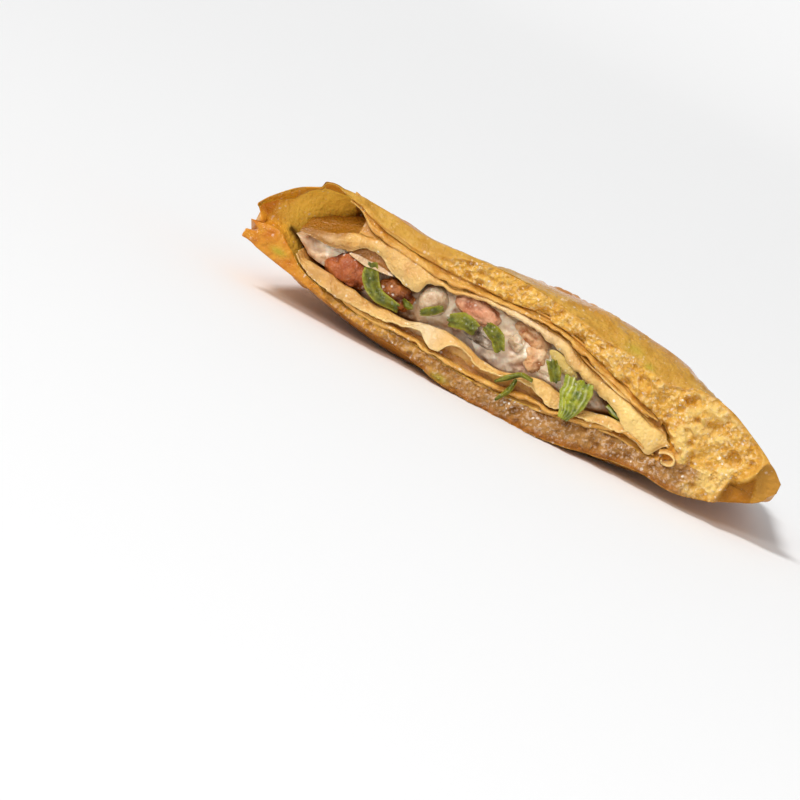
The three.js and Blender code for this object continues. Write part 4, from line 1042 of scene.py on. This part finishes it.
# ---- Leaves ---------------------------------------------------------------------------------------------
# Chopped garlic chives and one broad, ribbed leaf, limp and oily, lying on the filling at the cut.
# Node, route on the face from end to end, widths along it, how far it stands off the cut, ribs.
LEAVES = (
    ("chive_hook", ((-28.9, 14.6), (-27.9, 11.8), (-25.6, 9.8), (-21.2, 9.3)), (2.1, 2.8, 2.4, 1.4), -0.5, 2),
    ("chive_dark", ((-12.0, 11.6), (-9.4, 12.6), (-6.6, 12.2)), (2.0, 2.9, 2.2), -0.4, 2),
    ("chive_folded", ((-5.5, 13.7), (-3.2, 13), (-1.3, 10.8)), (1.7, 2.7, 1.8), -0.5, 2),
    ("chive_upright", ((7.8, 13.7), (9, 12.2), (10.1, 10.5)), (1.9, 2.2, 1.7), -0.6, 2),
    ("chive_tip", ((-17.0, 10.7), (-15.4, 11.7), (-13.8, 13.1)), (1.0, 1.5, 1.1), -1.0, 1),
    ("chive_strand", ((0.6, 6.0), (2.4, 7.6), (4.2, 8.9), (6.5, 9)), (0.4, 0.9, 0.8, 0.4), -1.7, 1),
    ("chive_thread", ((3.7, 7.7), (3.2, 5.3), (2.0, 3.0)), (0.5, 0.9, 0.4), -1.4, 1),
    ("leaf_large", ((14.0, 12.9), (14.4, 9.4), (14.2, 5.5)), (5.8, 5.4, 1.8), -1.9, 6),
)
LEAF_SKIN = 0.25
# Shreds that lie beside a leaf and belong to its node: the same values without the ribs.
SHREDS = {
    "leaf_large": (((20.0, 10.7), (21.3, 10.2), (22.8, 9.8)), (0.5, 1.0, 0.4), 0.4),
    "chive_hook": (((-20.9, 11.0), (-19.9, 10.5), (-18.8, 10.4)), (0.5, 1.1, 0.4), 0.2),
}


def leaf_strip(route, widths, off, ribs, seed):
    """Points of a strip along its route, cupped across, twisted, crumpled and ribbed lengthwise. Across
    runs from -1 at one edge to 1 at the other; the ribs are ridges of a cosine of it. Also its masks."""
    route, widths = np.array(route, float), np.array(widths)
    stops = np.linspace(0, 1, len(route))
    t = np.linspace(0, 1, 64)
    lines = [smooth_line(*zip(stops, values))(t) for values in (route[:, 0], route[:, 1], widths)]
    x, z, wide = (line[:, None] for line in lines)
    way = np.stack([np.gradient(lines[0]), np.gradient(lines[1])], axis=-1)
    way /= np.linalg.norm(way, axis=-1, keepdims=True)
    side = np.linspace(-1, 1, 34)[None, :]
    frayed = 1 + 0.14 * grain(place(t[:, None] * 12, side * 2), 2.6, seed)
    reach = side * wide / 2 * frayed
    px, pz = x - way[:, 1:] * reach, z + way[:, :1] * reach
    ends = (np.abs(2 * t - 1) ** 4)[:, None]
    uneven = ends * grain(place(side * 6, side * 0 + t[:, None]), 1.3, seed + 2) * np.sign(2 * t[:, None] - 1)
    px, pz = px + 0.3 * uneven * way[:, :1], pz + 0.3 * uneven * way[:, 1:]
    bent = side + 0.25 * grain(place(t[:, None] * 9, side), 2.5, seed + 3)
    ridge = np.cos(bent * np.pi * ribs)
    depth = off + 0.45 * side ** 2 + 0.35 * np.sin(5 * t[:, None] + seed) * side - 0.05 * ridge \
        + 0.4 * grain(place(px, pz), 1.5, seed + 1) + 0.15 * grain(place(px, pz), 0.6, seed + 4)
    depth = np.minimum(depth, off + 0.7)
    strength = np.clip(0.6 + 0.8 * grain(place(px, pz), 1.8, seed + 5), 0, 1)
    rib = np.clip(ridge, 0, 1) ** 2 * (1 - side ** 6) * strength * (1 - 0.7 * t[:, None] ** 2)
    return place(px, pz, depth), {"rib": rib, "edge": np.abs(side) ** 3}


def make_leaf(node, route, widths, off, ribs, seed):
    """One leaf, with the shred that belongs to its node, if there is one."""
    parts = [leaf_strip(route, widths, off, ribs, seed)]
    if node in SHREDS:
        parts.append(leaf_strip(*SHREDS[node], 1, seed + 6))
    return sheet_piece(node + "_leaf", parts, LEAF_SKIN)


def make_leaf_material(name, dark, light, rib, rib_share, edge):
    """Oily leaf: mottled from dark to light, with paler edges and ribs."""
    material, tree, shader, oil, close = mottled_material(name, 0.8, (1.6, 0.7))
    colour = paint(tree, blend(tree, close["Patches"], dark, light), ("edge", 0.6, edge),
                   ("rib", rib_share, rib))
    finish_surface(tree, shader, colour, oil, [(close["Grain"], 0.5)], 0.35, coat_weight=0.4,
                   coat_roughness=0.12, specular_ior_level=0.25, subsurface_weight=0.1,
                   subsurface_scale=0.001)
    return material


CHIVE = make_leaf_material("garlic_chive", (62, 70, 0), (112, 112, 4), (170, 172, 50), 0.25, (182, 174, 36))
BROAD_LEAF = make_leaf_material("broad_leaf", (78, 96, 0), (164, 166, 18), (236, 234, 190), 0.6,
                                (168, 172, 40))
for number, (node, route, widths, off, ribs) in enumerate(LEAVES):
    leaf = make_leaf(node, route, widths, off, ribs, 200 + 7 * number)
    dress(leaf, BROAD_LEAF if node == "leaf_large" else CHIVE, "chive", node)


# ---- Camera, floor and light -------------------------------------------------------------------------
# A long lens looks at the cut face from slightly to the right and above, turned so that the roll runs
# down to the right. The floor rises into a far, low wall all round, so that no horizon shows.
CAMERA_TURN, CAMERA_RISE, CAMERA_ROLL = np.radians((8.0, 8.0, 26.0))
CAMERA_AWAY = 520.0
PIXELS_PER_MM = 5.65
FRAME_PIXELS = 800
SENSOR_WIDTH = 36.0
FACE_CENTRE = place(0.0, 13.1)
CENTRE_PIXEL = (512.0, 343.0)
FLOOR_LEVEL = 1500.0
FLOOR_RADIUS = 5000.0
FLOOR_RISE = 1600.0


def make_camera():
    """Stands on the line of sight from the middle of the cut face, and is turned aside so that this
    point falls on its own pixel of the picture."""
    turn, rise, roll = CAMERA_TURN, CAMERA_RISE, CAMERA_ROLL
    back = np.array((np.sin(turn) * np.cos(rise), -np.cos(turn) * np.cos(rise), np.sin(rise)))
    level = np.array((np.cos(turn), np.sin(turn), 0))
    upright = np.cross(back, level)
    right = level * np.cos(roll) + upright * np.sin(roll)
    up = upright * np.cos(roll) - level * np.sin(roll)
    stand = FACE_CENTRE + back * CAMERA_AWAY
    aside = (np.array(CENTRE_PIXEL) - FRAME_PIXELS / 2) / PIXELS_PER_MM
    target = FACE_CENTRE - right * aside[0] + up * aside[1]
    back = (stand - target) / np.linalg.norm(stand - target)
    right = np.cross(up, back)
    right /= np.linalg.norm(right)
    up = np.cross(back, right)
    data = bpy.data.cameras.new("camera")
    data.sensor_width = SENSOR_WIDTH
    data.lens = SENSOR_WIDTH * PIXELS_PER_MM * CAMERA_AWAY / FRAME_PIXELS
    data.clip_start, data.clip_end = 0.01, 30.0
    camera = bpy.data.objects.new("camera", data)
    axes = Matrix([list(row) for row in np.column_stack((right, up, back))]).to_4x4()
    camera.matrix_world = Matrix.Translation(Vector(stand * MM)) @ axes
    scene.collection.objects.link(camera)
    scene.camera = camera


def make_floor():
    """Rings round the roll, level for the first metre and a half, then rising smoothly."""
    radius = np.linspace(0.02, 1, 40)[:, None] ** 2 * FLOOR_RADIUS
    angle = np.linspace(0, 2 * np.pi, 96, endpoint=False)[None, :]
    height = FLOOR_RISE * smooth(FLOOR_LEVEL, FLOOR_RADIUS, radius) + 0 * angle
    points = np.stack([radius * np.cos(angle), radius * np.sin(angle), height], axis=-1)
    rings, count = points.shape[:2]
    faces = ring_faces(rings, count)[:-count]
    floor = put_in_scene("floor", np.concatenate([points.reshape(-1, 3), [(0, 0, 0)]]), faces)
    material, _, shader = new_material("pale_floor")
    shader.inputs["Base Color"].default_value = (0.93, 0.93, 0.93, 1)
    shader.inputs["Roughness"].default_value = 0.8
    shader.inputs["Specular IOR Level"].default_value = 0.1
    floor.data.materials.append(material)


def make_light(kind, name, stand, strength, size, aim=(0, -10, 10)):
    """A light that stands there and looks at its aim. Its size is an angle for the sun, else a width."""
    data = bpy.data.lights.new(name, kind)
    data.energy = strength
    if kind == "SUN":
        data.angle = size
    else:
        data.size = size * MM
    light = bpy.data.objects.new(name, data)
    light.location = Vector(stand) * MM
    light.rotation_euler = (Vector(stand) - Vector(aim)).to_track_quat("Z", "Y").to_euler()
    scene.collection.objects.link(light)


make_camera()
make_floor()
make_light("SUN", "key", (-520, -560, 800), 2.0, 0.25)
make_light("AREA", "window", (-200, -900, 500), 2.2, 200)
world = bpy.data.worlds.new("soft_room")
world.use_nodes = True
world.node_tree.nodes["Background"].inputs["Color"].default_value = (1, 1, 1, 1)
world.node_tree.nodes["Background"].inputs["Strength"].default_value = 0.42
scene.world = world
scene.view_settings.view_transform = "Standard"
